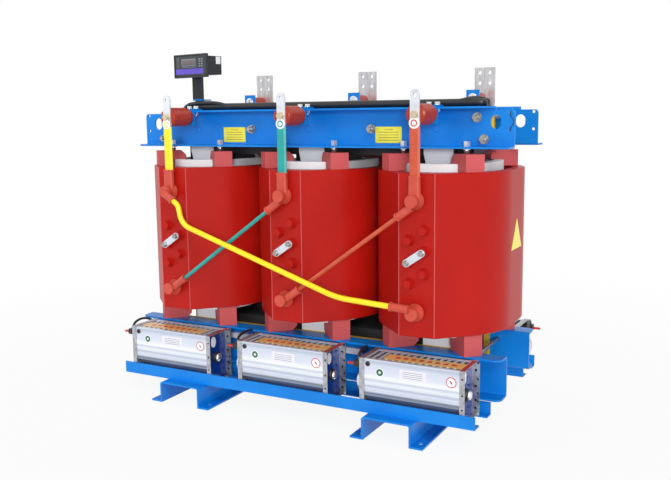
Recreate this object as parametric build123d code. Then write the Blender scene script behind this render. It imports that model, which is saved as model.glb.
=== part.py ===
from build123d import *
import math
import os

# Three-phase cast-resin dry-type transformer, millimetres, +Z up.
# X runs along the row of three coils, -Y is the high-voltage (front) side.
# The origin is on the floor, under the middle phase.

# ---- driving dimensions ----------------------------------------------------
PITCH = 455.0                 # coil centre to coil centre
PHASES = (-PITCH, 0.0, PITCH)
PHASE_NAMES = ("a", "b", "c")
COIL_MID_Z = 567.5            # height of the middle of the windings
STRAIGHT = 56.0               # half of the straight side of the oblong coils

HV_OUTER_R = 218.0            # end radius of the high-voltage coil
HV_BORE_R = 182.0
HV_HEIGHT = 497.0
PANEL_Y = -304.0              # flat front panel of the high-voltage coil
PANEL_HALF = 57.5
LV_OUTER_R = 150.0
LV_BORE_R = 119.0
LV_HEIGHT = 541.0

# sheet width of each step of the core, and half the depth that it reaches
CORE_STEPS = ((190.0, 62.0), (170.0, 86.0), (140.0, 106.0), (104.0, 122.0))
YOKE_HALF_DEPTH = CORE_STEPS[-1][1]
YOKE_HALF_LENGTH = PITCH + CORE_STEPS[0][0] / 2
YOKE_HEIGHT = 178.0
YOKE_STEP = 0.2               # share of a step's loss of width that its outer edge gives up
WINDOW_HALF = 290.5           # half the height of the core window

PLATE = 6.0                   # thickness of the pressed clamp channels
FLANGE = 60.0                 # reach of the clamp flanges
UPPER_Z = (885.0, 1011.0)
UPPER_WEB_Y = 138.0           # outer face of the web
UPPER_HALF = 700.0
TOP_FLANGE_X = (-572.0, 618.0)
FLANGE_TIP = 20.0             # corner cut from the left end of the bottom flange
LOWER_Z = (120.0, 250.0)
LOWER_WEB_Y = 155.0
LOWER_HALF = (693.0, 682.0)   # front and rear lower clamp
UPPER_BOARD_HALF = 634.0
LOWER_BOARD_HALF = 545.0
TIE_PLATE = 5.0
TIE_PLATE_HALF = (49.0, 41.0) # beside the yokes, and beside the leg

FOOT_X = 391.0
FOOT_HALF_LENGTH = 392.0
FOOT_HEIGHT = 74.0
FOOT_TOP_HALF = 76.0
FOOT_FLANGE = 45.0

RAIL = 40.0                   # fan rails are 40 x 40 x 4 angles
RAIL_THICK = 4.0
RAIL_HALF = (660.0, 650.0)    # front and rear pair
RAIL_OUTER_Y = 354.6
RAIL_INNER_Y = 202.0

FAN_HALF = 171.0              # half length over the end plates
FAN_PLATE = 16.0              # depth of the end trays
FAN_Y = (222.0, 350.0)
FAN_TOP_Z = 247.0
FAN_BASE_Z = FOOT_HEIGHT + RAIL_THICK
FAN_AXIS_Y = 300.0
FAN_AXIS_Z = 160.0
IMPELLER_R = 38.0
SHAFT_R = 6.0
RUNNING_GAP = 0.6
FAN_FACE_LOW = 128.0          # lower edge of the flat face of a fan cover
FAN_COVE = 34.0
FAN_GROOVES = (174.0, 161.0, 148.0, 137.0)

PAD_WIDTH = 61.0
PAD_R = (106.0, 207.0)        # inner and outer reach of a coil support block
PAD_TOP_Z = 869.0
PAD_CHAMFER = 16.0
BOLT_REACH = 104.0            # pressure bolt offset from the coil centre
INSULATOR_R = 32.0
INSULATOR_Z = 989.0
INSULATOR_Y = (-316.0, -204.0)

BAR_WIDTH = 30.0
BAR_THICK = 5.0
BAR_FRONT_Y = INSULATOR_Y[0] - BAR_THICK
SLEEVE_Z = (810.0, 956.0)
LUG_Z = 964.0                 # round lug between a terminal bar and its sleeve
LUG_R = 16.5
TERMINAL_TOP_Z = 1062.0
ELBOW_TOP_Z = 736.0
ELBOW_BOTTOM_Z = 398.0
ELBOW_R = 19.0                # front cap of a boot head
ELBOW_BASE_R = 27.0
ELBOW_FRONT_Y = -352.0
BOOT_ARM_R = 13.0
LINK_Y = -332.0               # plane of the crossing delta links
TAP_X = 24.0
TAP_PITCH = 65.5
TAP_R = (18.0, 15.0, 12.5)    # base, shoulder and cap of a tap boss
TAP_FRONT_Y = PANEL_Y - 20.0

LV_OFFSET = 19.0              # low-voltage terminal, beside its phase centre
LV_LUG_OFFSET = 5.0
LV_LUG_HALF = 23.0
LV_LUG_TOP_Z = 1070.0
LV_POST_Z = 1043.0
LV_Y = 270.0
LV_WIDTH = 72.0
LV_THICK = 8.0
LV_TOP_Z = 1148.0
LV_HOLE_PITCH = 36.0
LV_HOLE_R = 6.5

POST_X = -513.0               # post that carries the temperature controller
POST_Y = -70.0
POST_HALF = 20.0
CASE_X = -515.0
CASE_Y = -104.0               # front face of the controller
CASE_Z = 1134.0
CASE_TURN = -11.0
BEZEL_HALF = 87.5
CASE_DEPTH = 80.0


# ---- small helpers ----------------------------------------------------------
def block(x0, x1, y0, y1, z0, z1):
    """A box between two corners."""
    centre = Pos((x0 + x1) / 2, (y0 + y1) / 2, (z0 + z1) / 2)
    return centre * Box(abs(x1 - x0), abs(y1 - y0), abs(z1 - z0))


def rod_y(radius, x, z, y0, y1):
    """A round bar along Y."""
    return Pos(x, (y0 + y1) / 2, z) * Rot(90, 0, 0) * Cylinder(radius, abs(y1 - y0))


def rod_x(radius, y, z, x0, x1):
    """A round bar along X."""
    return Pos((x0 + x1) / 2, y, z) * Rot(0, 90, 0) * Cylinder(radius, abs(x1 - x0))


def rod_z(radius, x, y, z0, z1):
    """A round bar along Z."""
    return Pos(x, y, (z0 + z1) / 2) * Cylinder(radius, abs(z1 - z0))


def rod_between(radius, start, end):
    """A round bar from one point to another."""
    first = Vector(*start)
    run = Vector(*end) - first
    plane = Plane(origin=first, z_dir=run.normalized())
    return extrude(plane * Circle(radius), amount=run.length)


def hexagon_y(across, x, z, y0, y1):
    """A hexagonal head or nut along Y."""
    head = extrude(RegularPolygon(across / math.sqrt(3), 6), amount=abs(y1 - y0))
    return Pos(x, max(y0, y1), z) * Rot(90, 0, 0) * head


def hexagon_z(across, x, y, z0, z1):
    """A hexagonal head or nut along Z."""
    head = extrude(RegularPolygon(across / math.sqrt(3), 6), amount=abs(z1 - z0))
    return Pos(x, y, min(z0, z1)) * head


def oblong(radius, half=STRAIGHT):
    """The oblong plan of the coils: two half circles joined by straight sides."""
    face = Rectangle(2 * radius, 2 * half)
    for side in (-1, 1):
        face += Pos(0, side * half) * Circle(radius)
    return face


def mirrored_y(shape):
    """The same piece on the other side of the core."""
    return mirror(shape, Plane.XZ)


def turned_round(shape):
    """The same piece turned to face the other way, on the other side of the core."""
    return Rot(0, 0, 180) * shape


def cone_y(x, z, y0, r0, y1, r1):
    """A round taper along Y, from one end's place and radius to the other's."""
    profile = make_face(Polyline((0, y0), (r0, y0), (r1, y1), (0, y1), close=True))
    return Pos(x, 0, z) * revolve(profile, Axis.Y)


def solids_of(shapes):
    """Every solid in a list of shapes, for a node that groups them."""
    found = []
    for shape in shapes:
        found.extend(shape.solids())
    return found


def save(name, *shapes):
    """Writes one node."""
    solids = solids_of(shapes)
    piece = solids[0] if len(solids) == 1 else Compound(children=solids)
    piece.label = name
    export_step(piece, os.path.join("parts", name + ".step"))


# ---- base -------------------------------------------------------------------
def foot(x):
    """One pressed hat-section foot that runs from front to back."""
    half = FOOT_TOP_HALF
    reach = half + FOOT_FLANGE
    profile = Polyline(
        (-reach, 0), (-half, 0), (-half, FOOT_HEIGHT - PLATE), (half, FOOT_HEIGHT - PLATE),
        (half, 0), (reach, 0), (reach, PLATE), (half + PLATE, PLATE),
        (half + PLATE, FOOT_HEIGHT), (-half - PLATE, FOOT_HEIGHT),
        (-half - PLATE, PLATE), (-reach, PLATE), close=True)
    face = make_face(profile)
    outer_bends = [v for v in face.vertices() if v.Y > FOOT_HEIGHT - 1]
    face = fillet(outer_bends, 10)
    inner_bends = [v for v in face.vertices()
                   if abs(v.Y - FOOT_HEIGHT + PLATE) < 0.1 and abs(abs(v.X) - half) < 0.1]
    face = fillet(inner_bends, 5)
    body = extrude(Plane.XZ * face, amount=FOOT_HALF_LENGTH, both=True)
    for side in (-1, 1):
        for end in (-1, 1):
            body -= rod_z(9, side * (half + 24), end * (FOOT_HALF_LENGTH - 40), -1, PLATE + 1)
    return Pos(x, 0, 0) * body


def riser(x, side):
    """A square tube between a foot and the clamp that stands on it."""
    y0 = side * (LOWER_WEB_Y + 2)
    y1 = side * (LOWER_WEB_Y + 38)
    wall = 4 * side
    tube = block(x - 60, x + 60, y0, y1, FOOT_HEIGHT, LOWER_Z[0])
    return tube - block(x - 61, x + 61, y0 + wall, y1 - wall, FOOT_HEIGHT + 4, LOWER_Z[0] - 4)


# ---- clamps -----------------------------------------------------------------
def channel(half_length, web_y, z_range, corner):
    """A pressed channel on the front side, its flanges reaching away from the core."""
    z0, z1 = z_range
    front = web_y + FLANGE
    outer = block(-half_length, half_length, -front, -web_y + PLATE, z0, z1)
    bends = outer.edges().filter_by(Axis.X).group_by(Axis.Y)[-1]
    outer = fillet(bends, 9)
    hollow = block(-half_length - 1, half_length + 1, -front - 1, -web_y, z0 + PLATE, z1 - PLATE)
    beam = outer - hollow
    inner = [e for e in beam.edges().filter_by(Axis.X)
             if abs(e.center().Y + web_y) < 0.1 and z0 + 1 < e.center().Z < z1 - 1]
    beam = fillet(inner, 4)
    if corner:
        tips = [e for e in beam.edges().filter_by(Axis.Z)
                if abs(e.center().Y + front) < 0.1]
        beam = fillet(tips, corner)
    return beam


def stud_places():
    """Where the cross studs pass through the upper clamps: x and z."""
    return ((-612, 912), (-584, 978), (-230, 944), (230, 944), (584, 978), (607, 912))


def lower_stud_places():
    """Where the cross studs pass through the lower clamps."""
    return ((-571.5, 160), (-230, 160), (230, 160), (571.5, 216))


def upper_clamp():
    """The front upper clamp with its lifting holes and cut-back top flange."""
    z0, z1 = UPPER_Z
    beam = channel(UPPER_HALF, UPPER_WEB_Y, UPPER_Z, 0)
    tip = [e for e in beam.edges().filter_by(Axis.Z)
           if e.center().X < 0 and e.center().Z < z0 + PLATE and e.center().Y < -UPPER_WEB_Y - 40]
    beam = chamfer(tip, FLANGE_TIP)
    for side, end in zip((-1, 1), TOP_FLANGE_X):
        cut = make_face(Polyline(
            (end, -UPPER_WEB_Y - FLANGE - 1),
            (end + side * 24, -UPPER_WEB_Y),
            (end + side * 24, -UPPER_WEB_Y + PLATE + 1),
            (side * (UPPER_HALF + 1), -UPPER_WEB_Y + PLATE + 1),
            (side * (UPPER_HALF + 1), -UPPER_WEB_Y - FLANGE - 1), close=True))
        beam -= Pos(0, 0, z1 - PLATE - 4) * extrude(cut, amount=PLATE + 6)
        ends = [e for e in beam.edges().filter_by(Axis.Y)
                if abs(e.center().X - side * UPPER_HALF) < 0.1 and e.center().Z > z1 - 20]
        beam = fillet(ends, 12)
        slot = extrude(SlotOverall(42, 32, rotation=90), amount=20, both=True)
        beam -= Pos(side * 642, -UPPER_WEB_Y, 964) * Rot(90, 0, 0) * slot
        for z in (994, 938):
            beam -= rod_y(5, side * (UPPER_HALF - 15), z, -UPPER_WEB_Y - 2, -UPPER_WEB_Y + 8)
    for x, z in stud_places():
        beam -= rod_y(8.5, x, z, -UPPER_WEB_Y - 2, -UPPER_WEB_Y + 8)
    for x in PHASES:
        for side in (-1, 1):
            beam -= rod_z(7, x + side * BOLT_REACH, -STRAIGHT - BOLT_REACH, z0 - 1, z0 + PLATE + 1)
    return beam


def lower_clamp(half_length):
    """A lower clamp, which stands on the feet."""
    beam = channel(half_length, LOWER_WEB_Y, LOWER_Z, 24)
    for x, z in lower_stud_places():
        beam -= rod_y(8.5, x, z, -LOWER_WEB_Y - 2, -LOWER_WEB_Y + 8)
    return beam


def cross_stud(x, z, web_y):
    """A threaded stud with a washer and nut outside each clamp."""
    stud = rod_y(7, x, z, -web_y - 26, web_y + 26)
    for side in (-1, 1):
        face = side * web_y
        stud += rod_y(15, x, z, face, face + side * 3)
        stud += hexagon_y(23, x, z, face + side * 3, face + side * 15)
    return stud


def pressure_bolt(x, y):
    """A bolt through the clamp flange that presses on a coil block."""
    z0 = UPPER_Z[0]
    bolt = rod_z(6, x, y, PAD_TOP_Z, z0 + PLATE + 4)
    bolt += hexagon_z(19, x, y, z0 + PLATE, z0 + PLATE + 16)
    bolt += rod_z(11, x, y, z0 - 4, z0)
    bolt += Pos(x, y, PAD_TOP_Z + 4) * Cone(6, 10, 8)
    return bolt


# ---- core -------------------------------------------------------------------
def core_leg(x):
    """One stepped stack of steel sheets."""
    low = COIL_MID_Z - WINDOW_HALF
    high = COIL_MID_Z + WINDOW_HALF
    steps = [block(x - width / 2, x + width / 2, -half, half, low, high)
             for width, half in CORE_STEPS]
    return steps[0].fuse(*steps[1:])


def core_yoke(side):
    """The top or bottom yoke, drilled for the studs that cross it."""
    near = COIL_MID_Z + side * WINDOW_HALF
    steps = []
    for width, half in CORE_STEPS:
        reach = PITCH + width / 2
        far = near + side * (YOKE_HEIGHT - YOKE_STEP * (CORE_STEPS[0][0] - width))
        steps.append(block(-reach, reach, -half, half, min(near, far), max(near, far)))
    yoke = steps[0].fuse(*steps[1:])
    places = stud_places() if side > 0 else lower_stud_places()
    for x, z in places:
        if abs(x) < PITCH:
            yoke -= rod_y(9, x, z, -YOKE_HALF_DEPTH - 1, YOKE_HALF_DEPTH + 1)
    return yoke


def tie_plate(x, side):
    """A flat plate beside a leg that ties the lower clamp to the upper one."""
    wide, narrow = TIE_PLATE_HALF
    half_outline = [(wide, 433), (wide, 300), (narrow, 264), (narrow, -264), (wide, -300), (wide, -435)]
    outline = half_outline + [(-px, pz) for px, pz in reversed(half_outline)]
    plate = extrude(Plane.XZ * make_face(Polyline(*outline, close=True)), amount=TIE_PLATE)
    y = YOKE_HALF_DEPTH + TIE_PLATE if side > 0 else -YOKE_HALF_DEPTH
    return Pos(x, y, COIL_MID_Z) * plate


def insulation_board(side, upper):
    """The board between the yoke and a clamp."""
    y0 = side * (YOKE_HALF_DEPTH + TIE_PLATE)
    web = UPPER_WEB_Y if upper else LOWER_WEB_Y
    z_range = UPPER_Z if upper else LOWER_Z
    half = UPPER_BOARD_HALF if upper else LOWER_BOARD_HALF
    board = block(-half, half, y0, side * (web - PLATE), z_range[0] + 4, z_range[1] - 4)
    places = stud_places() if upper else lower_stud_places()
    for x, z in places:
        if abs(x) < half:
            board -= rod_y(9, x, z, y0 - side, side * web)
    return board


# ---- windings ---------------------------------------------------------------
def lv_coil(x):
    """The low-voltage foil winding."""
    ring = oblong(LV_OUTER_R) - oblong(LV_BORE_R)
    return Pos(x, 0, COIL_MID_Z - LV_HEIGHT / 2) * extrude(ring, amount=LV_HEIGHT)


def hv_plan():
    """The plan of the cast coil: oblong, with flats that run out to the front panel."""
    depth = -PANEL_Y - STRAIGHT
    reach = math.hypot(PANEL_HALF, depth)
    angle = math.atan2(PANEL_HALF, depth) + math.acos(HV_OUTER_R / reach)
    touch_x = HV_OUTER_R * math.sin(angle)
    touch_y = -STRAIGHT - HV_OUTER_R * math.cos(angle)
    front = make_face(Polyline(
        (-PANEL_HALF, PANEL_Y), (PANEL_HALF, PANEL_Y), (touch_x, touch_y),
        (touch_x, 0), (-touch_x, 0), (-touch_x, touch_y), close=True))
    return oblong(HV_OUTER_R) + front - oblong(HV_BORE_R)


def tap_places():
    """The six tap studs in two staggered columns: x and z."""
    places = []
    for row in (-1, 0, 1):
        places.append((TAP_X, COIL_MID_Z + 14 + row * TAP_PITCH))
        places.append((-TAP_X, COIL_MID_Z - 18.5 + row * TAP_PITCH))
    return places


def link_places():
    """The two middle taps, which the link joins."""
    return ((TAP_X, COIL_MID_Z + 14), (-TAP_X, COIL_MID_Z - 18.5))


def hv_coil(x):
    """A cast-resin coil with its tap bosses and the two stubs for the end leads."""
    z0 = COIL_MID_Z - HV_HEIGHT / 2
    coil = Pos(0, 0, z0) * extrude(hv_plan(), amount=HV_HEIGHT)
    rims = [e for e in coil.edges()
            if abs(e.center().Z - z0) < 0.1 or abs(e.center().Z - z0 - HV_HEIGHT) < 0.1]
    coil = chamfer(rims, 2)
    for px, pz in tap_places():
        coil += cone_y(px, pz, PANEL_Y, TAP_R[0], PANEL_Y - 9, TAP_R[1])
        coil += cone_y(px, pz, PANEL_Y - 9, TAP_R[2] + 1, TAP_FRONT_Y, TAP_R[2])
    for pz in (ELBOW_TOP_Z, ELBOW_BOTTOM_Z):
        coil += rod_y(ELBOW_R - 3, 0, pz, PANEL_Y + 1, PANEL_Y - 6)
    return Pos(x, 0, 0) * coil


def support_block(x, side_x, side_y, upper):
    """A resin block set across a coil corner, notched over the inner coil."""
    inner, outer = PAD_R
    step = LV_OUTER_R + 2
    hv_end = COIL_MID_Z + HV_HEIGHT / 2
    lv_end = COIL_MID_Z + LV_HEIGHT / 2
    reach = PAD_TOP_Z if upper else 2 * COIL_MID_Z - LOWER_Z[1]
    outline = Polyline(
        (inner, lv_end), (step, lv_end), (step, hv_end), (outer, hv_end), (outer, reach),
        (inner + PAD_CHAMFER, reach), (inner, reach - PAD_CHAMFER), close=True)
    shape = extrude(Plane.XZ * make_face(outline), amount=PAD_WIDTH / 2, both=True)
    if not upper:
        shape = mirror(shape, Plane.XY.offset(COIL_MID_Z))
    turn = math.degrees(math.atan2(side_y, side_x))
    placed = Pos(x, side_y * STRAIGHT, 0) * Rot(0, 0, turn) * shape
    edge = YOKE_HALF_DEPTH + 0.4
    yoke_face = WINDOW_HALF - 0.4
    near, far = (yoke_face, yoke_face + 60) if upper else (-yoke_face - 60, -yoke_face)
    return placed - block(x - 300, x + 300, -edge, edge, COIL_MID_Z + near, COIL_MID_Z + far)


# ---- high-voltage connections -----------------------------------------------
def post_insulator(x):
    """A ribbed resin post that holds a terminal bar clear of the clamp."""
    y0, y1 = INSULATOR_Y
    ribs = 8
    core_r = INSULATOR_R - 1.6
    pitch = (y1 - y0 - 26) / ribs
    outline = [(0, y0), (INSULATOR_R - 8, y0), (core_r, y0 + 3)]
    for index in range(ribs):
        start = y0 + 8 + index * pitch
        outline += [(core_r, start), (INSULATOR_R, start + 1.5),
                    (INSULATOR_R, start + pitch - 4), (core_r, start + pitch - 2.5)]
    outline += [(core_r, y1 - 14), (core_r - 4, y1 - 5), (core_r - 12, y1), (0, y1)]
    post = revolve(make_face(Polyline(*outline, close=True)), Axis.Y)
    return Pos(x, 0, INSULATOR_Z) * post


def insulator_bracket(x):
    """A folded bracket on the clamp flange behind a post insulator."""
    y1 = INSULATOR_Y[1]
    front = -UPPER_WEB_Y - FLANGE
    z1 = UPPER_Z[1]
    shelf = block(x - 26, x + 26, y1, front + 44, z1, z1 + PLATE)
    drop = block(x - 26, x + 26, y1, front, INSULATOR_Z - 30, z1 + PLATE)
    bracket = shelf + drop
    for side in (-1, 1):
        bracket += hexagon_z(13, x + side * 14, front + 24, z1 + PLATE, z1 + PLATE + 8)
    return bracket


def terminal_bar(x):
    """A flat tinned bar with a round head, bolted to its post insulator."""
    y0 = BAR_FRONT_Y
    y1 = BAR_FRONT_Y + BAR_THICK
    z1 = TERMINAL_TOP_Z - BAR_WIDTH / 2
    bar = block(x - BAR_WIDTH / 2, x + BAR_WIDTH / 2, y0, y1, SLEEVE_Z[1], z1)
    bar += rod_y(LUG_R, x, LUG_Z, y1, y0 - 2)
    bar += rod_y(BAR_WIDTH / 2, x, z1, y0, y1)
    bar -= rod_y(5.5, x, TERMINAL_TOP_Z - 17, y0 - 1, y1 + 1)
    bar += rod_y(12, x, INSULATOR_Z, y0, y0 - 2)
    bar += hexagon_y(19, x, INSULATOR_Z, y0 - 2, y0 - 12)
    return bar


def sleeved_bar(x):
    """The bar between the terminal and the coil, in its coloured sleeve."""
    y = BAR_FRONT_Y + BAR_THICK / 2
    half = BAR_WIDTH / 2 + 1.5
    sleeve = block(x - half, x + half, y - 4.5, y + 4.5, SLEEVE_Z[0], SLEEVE_Z[1])
    sleeve = chamfer(sleeve.edges().filter_by(Axis.Z), 3.5, 6)
    return sleeve - rod_y(LUG_R, x, LUG_Z, y - 6, y + 6)


def boot_head(x, z):
    """The round head of a lead boot, seated on a stub of the coil."""
    y0 = PANEL_Y - 6
    head = cone_y(x, z, y0, ELBOW_BASE_R, y0 - 4, ELBOW_BASE_R)
    head += cone_y(x, z, y0 - 4, ELBOW_BASE_R - 1, y0 - 18, ELBOW_R + 1)
    head += rod_y(ELBOW_R, x, z, y0 - 18, ELBOW_FRONT_Y + 5)
    cap = cone_y(x, z, ELBOW_FRONT_Y + 5, ELBOW_R + 1.5, ELBOW_FRONT_Y, ELBOW_R)
    return head + cap


def boot_arm(start, end, radius):
    """An arm of a boot with a collar at its mouth."""
    arm = rod_between(radius, start, end)
    run = Vector(*end) - Vector(*start)
    back = Vector(*end) - run.normalized() * 7
    return arm + rod_between(radius + 2, (back.X, back.Y, back.Z), end)


def top_boot(x, start, mouth):
    """A boot at the top of a coil: up to the bar, and across to a delta link."""
    y = BAR_FRONT_Y + BAR_THICK / 2
    foot_plan = Pos(x, y - 2) * RectangleRounded(40, 20, 9)
    mouth_plan = Pos(x, y - 2) * RectangleRounded(35, 20, 7)
    riser_arm = loft([Plane.XY.offset(ELBOW_TOP_Z) * foot_plan,
                      Plane.XY.offset(SLEEVE_Z[0]) * mouth_plan])
    lip_plan = Pos(x, y - 2) * RectangleRounded(38, 23, 8)
    lip = extrude(Plane.XY.offset(SLEEVE_Z[0] - 6) * lip_plan, amount=6)
    return boot_head(x, ELBOW_TOP_Z) + riser_arm + lip + boot_arm(start, mouth, BOOT_ARM_R)


def bottom_boot(x, start, mouth):
    """A boot at the bottom of a coil, with one arm to a delta link."""
    return boot_head(x, ELBOW_BOTTOM_Z) + boot_arm(start, mouth, BOOT_ARM_R)


def beyond(start, end, distance):
    """The point a distance past end on the line that comes from start."""
    last = Vector(*end)
    point = last + (last - Vector(*start)).normalized() * distance
    return (point.X, point.Y, point.Z)


def crossing_route(phase):
    """The straight link from the top of one coil to the bottom of the one before it."""
    upper = (PHASES[phase] - 52, LINK_Y, 685)
    lower = (PHASES[phase - 1] + 64, LINK_Y, 440)
    return (beyond(lower, upper, 58), upper, lower, beyond(upper, lower, 62))


def long_route():
    """The link from the top of the first coil to the bottom of the last one."""
    y = LINK_Y - 24
    head = (PHASES[0] + 4, y, 733)
    mouth = (PHASES[0] + 42, y, 707)
    near_bend = (PHASES[0] + 76, y, 628)
    far_bend = (PHASES[2] - 245, y, 430)
    last = (PHASES[2] - 64, y, 419)
    return (head, mouth, beyond(head, mouth, 24), near_bend, far_bend, last,
            beyond(far_bend, last, 60))


def crossing_link(phase, radius):
    """A straight insulated link between two boots."""
    route = crossing_route(phase)
    return rod_between(radius, route[1], route[2])


def long_link(radius):
    """The link that bends round the others, from the first coil to the last."""
    path = FilletPolyline(*long_route()[1:6], radius=[24, 58, 300])
    plane = Plane(origin=path @ 0, z_dir=path % 0)
    return sweep(plane * Circle(radius), path=path)


def tap_link(x):
    """The flat link across the two middle taps."""
    (x0, z0), (x1, z1) = link_places()
    length = math.hypot(x0 - x1, z0 - z1)
    turn = math.degrees(math.atan2(z0 - z1, x0 - x1))
    strip = extrude(SlotCenterToCenter(length, 23), amount=4)
    place = Pos(x, TAP_FRONT_Y, (z0 + z1) / 2)
    return place * Rot(90, 0, 0) * Rot(0, 0, turn) * strip


def tap_bolt(x, z):
    """A bolt that holds one end of a tap link."""
    front = TAP_FRONT_Y - 4
    bolt = rod_y(9.5, x, z, front, front - 2)
    return bolt + hexagon_y(15, x, z, front - 2, front - 10)


# ---- low-voltage side ---------------------------------------------------------
def lv_terminal(x):
    """A low-voltage bar: a foot on the coil, then up behind the clamp."""
    x0 = x + LV_OFFSET - LV_WIDTH / 2
    x1 = x0 + LV_WIDTH
    coil_top = COIL_MID_Z + LV_HEIGHT / 2
    bar = block(x0, x1, LV_Y, LV_Y + LV_THICK, coil_top, LV_TOP_Z)
    bar += block(x0, x1, STRAIGHT + LV_BORE_R + 4, LV_Y + LV_THICK, coil_top, coil_top + LV_THICK)
    for dx in (-0.5, 0.5):
        for dz in (0.5, 1.5):
            hx = x + LV_OFFSET + dx * LV_HOLE_PITCH
            bar -= rod_y(LV_HOLE_R, hx, LV_TOP_Z - dz * LV_HOLE_PITCH, LV_Y - 1, LV_Y + LV_THICK + 1)
    return bar


def lv_support(x):
    """A resin post between the rear clamp and a low-voltage bar."""
    front = UPPER_WEB_Y + FLANGE - 8
    return rod_y(19, x + LV_LUG_OFFSET, LV_POST_Z, front, LV_Y)


def lv_bracket(x):
    """The upright lug on the rear clamp that carries a low-voltage post."""
    y1 = UPPER_WEB_Y + FLANGE - 8
    z1 = UPPER_Z[1]
    centre = x + LV_LUG_OFFSET
    x0, x1 = centre - LV_LUG_HALF, centre + LV_LUG_HALF
    lug = block(x0, x1, y1 - PLATE, y1, z1, LV_LUG_TOP_Z)
    lug += block(x0, x1, y1 - 44, y1, z1, z1 + PLATE)
    return lug - rod_y(13, centre, LV_POST_Z, y1 - PLATE - 1, y1 + 1)


# ---- fans -------------------------------------------------------------------
def rail(y_web, y_tip, half):
    """An angle rail: an upright leg and a flat leg that carries the fans."""
    toward = 1 if y_tip > y_web else -1
    base = FOOT_HEIGHT
    upright = block(-half, half, y_web, y_web + toward * RAIL_THICK, base, base + RAIL)
    flat = block(-half, half, y_web, y_tip, base, base + RAIL_THICK)
    return upright + flat


def rail_pair(half):
    """The front outer and inner rails."""
    return [rail(-RAIL_OUTER_Y, -RAIL_OUTER_Y + RAIL, half), rail(-RAIL_INNER_Y, -RAIL_INNER_Y - 37, half)]


def fan_cover(x):
    """The aluminium cover of a front fan: a grooved face, a hollow underside, a slotted top."""
    face, back = -FAN_Y[1] + 3, -FAN_Y[0] - 6
    skin = 3.0
    x0 = x - FAN_HALF + FAN_PLATE
    length = 2 * (FAN_HALF - FAN_PLATE)
    top = FAN_TOP_Z - 2
    low = FAN_BASE_Z + 2
    front = Pos((face + back) / 2, (top + low) / 2) * Rectangle(back - face, top - low)
    cove = Pos(face, FAN_FACE_LOW - FAN_COVE) * Circle(FAN_COVE)
    under = Pos(face, (FAN_FACE_LOW - FAN_COVE + low) / 2) * Rectangle(
        2 * FAN_COVE, FAN_FACE_LOW - FAN_COVE - low)
    outer = front - cove - under
    room = Pos((face + back) / 2, (top + low) / 2) * Rectangle(back - face - 2 * skin, top - low - 2 * skin)
    room -= Pos(face, FAN_FACE_LOW - FAN_COVE) * Circle(FAN_COVE + skin)
    room -= Pos(face, (FAN_FACE_LOW - FAN_COVE + low) / 2) * Rectangle(
        2 * (FAN_COVE + skin), FAN_FACE_LOW - FAN_COVE - low)
    shell = outer - room
    for z in FAN_GROOVES:
        shell -= Pos(face, z) * Rectangle(3.2, 2.6)
    cover = Pos(x0, 0, 0) * extrude(Plane.YZ * shell, amount=length)
    slots = 14
    step = length / slots
    for index in range(slots):
        sx = x0 + (index + 0.5) * step
        cover -= block(sx - step * 0.3, sx + step * 0.3, face + 13, back - 14, top - 5, top + 1)
    return cover


def fan_end(x, side):
    """A galvanised end tray with its bearing hole."""
    inner = x + side * (FAN_HALF - FAN_PLATE)
    outer = x + side * FAN_HALF
    y0, y1 = -FAN_Y[1], -FAN_Y[0]
    tray = block(inner, outer, y0, y1, FAN_BASE_Z, FAN_TOP_Z)
    tray -= block(inner + side * 2, outer + side, y0 + 2, y1 - 2, FAN_BASE_Z + 2, FAN_TOP_Z - 2)
    hole = 14 if side > 0 else SHAFT_R + RUNNING_GAP
    tray -= rod_x(hole, -FAN_AXIS_Y, FAN_AXIS_Z, inner - side, inner + side * 3)
    return tray


def fan_motor(x):
    """The motor in the left end tray."""
    face = x - FAN_HALF + FAN_PLATE - 2
    body = rod_x(33, -FAN_AXIS_Y, FAN_AXIS_Z, face - 30, face)
    body += rod_x(24, -FAN_AXIS_Y, FAN_AXIS_Z, face - 36, face - 30)
    bore = rod_x(SHAFT_R + RUNNING_GAP, -FAN_AXIS_Y, FAN_AXIS_Z, face - 14, face + 1)
    return body - bore


def fan_bearing(x):
    """The rubber-mounted bearing ring in the right end tray."""
    inner = x + FAN_HALF - FAN_PLATE
    ring = rod_x(14, -FAN_AXIS_Y, FAN_AXIS_Z, inner, inner + 9)
    ring += rod_x(17, -FAN_AXIS_Y, FAN_AXIS_Z, inner + 2, inner + 9)
    return ring - rod_x(SHAFT_R + RUNNING_GAP, -FAN_AXIS_Y, FAN_AXIS_Z, inner - 1, inner + 10)


def fan_impeller(x):
    """A crossflow drum: end discs, curved-in blades and its shaft."""
    half = FAN_HALF - FAN_PLATE - 8
    blades = 12
    drum = rod_x(SHAFT_R, 0, 0, -half - 16, half + 20)
    for end in (-1, 0, 1):
        middle = end * (half - 1.5)
        drum += rod_x(IMPELLER_R, 0, 0, middle - 1.5, middle + 1.5)
    blade = block(-half + 2, half - 2, -1, 1, IMPELLER_R - 11, IMPELLER_R)
    blade = Pos(0, 0, IMPELLER_R) * Rot(32, 0, 0) * Pos(0, 0, -IMPELLER_R) * blade
    for index in range(blades):
        drum += Rot(360 / blades * index, 0, 0) * blade
    return Pos(x, -FAN_AXIS_Y, FAN_AXIS_Z) * drum


# ---- control and wiring -------------------------------------------------------
def controller():
    """The temperature controller: a panel instrument with a raised bezel."""
    case = block(-BEZEL_HALF + 7, BEZEL_HALF - 7, 10, CASE_DEPTH, 6, 72)
    bezel = fillet(block(-BEZEL_HALF, BEZEL_HALF, 0, 10, -4, 80).edges().filter_by(Axis.Y), 3)
    dish = block(-BEZEL_HALF + 5, BEZEL_HALF - 5, -1, 2, 1, 75)
    unit = case + bezel - dish
    return Pos(CASE_X, CASE_Y, CASE_Z) * Rot(0, 0, CASE_TURN) * unit


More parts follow.
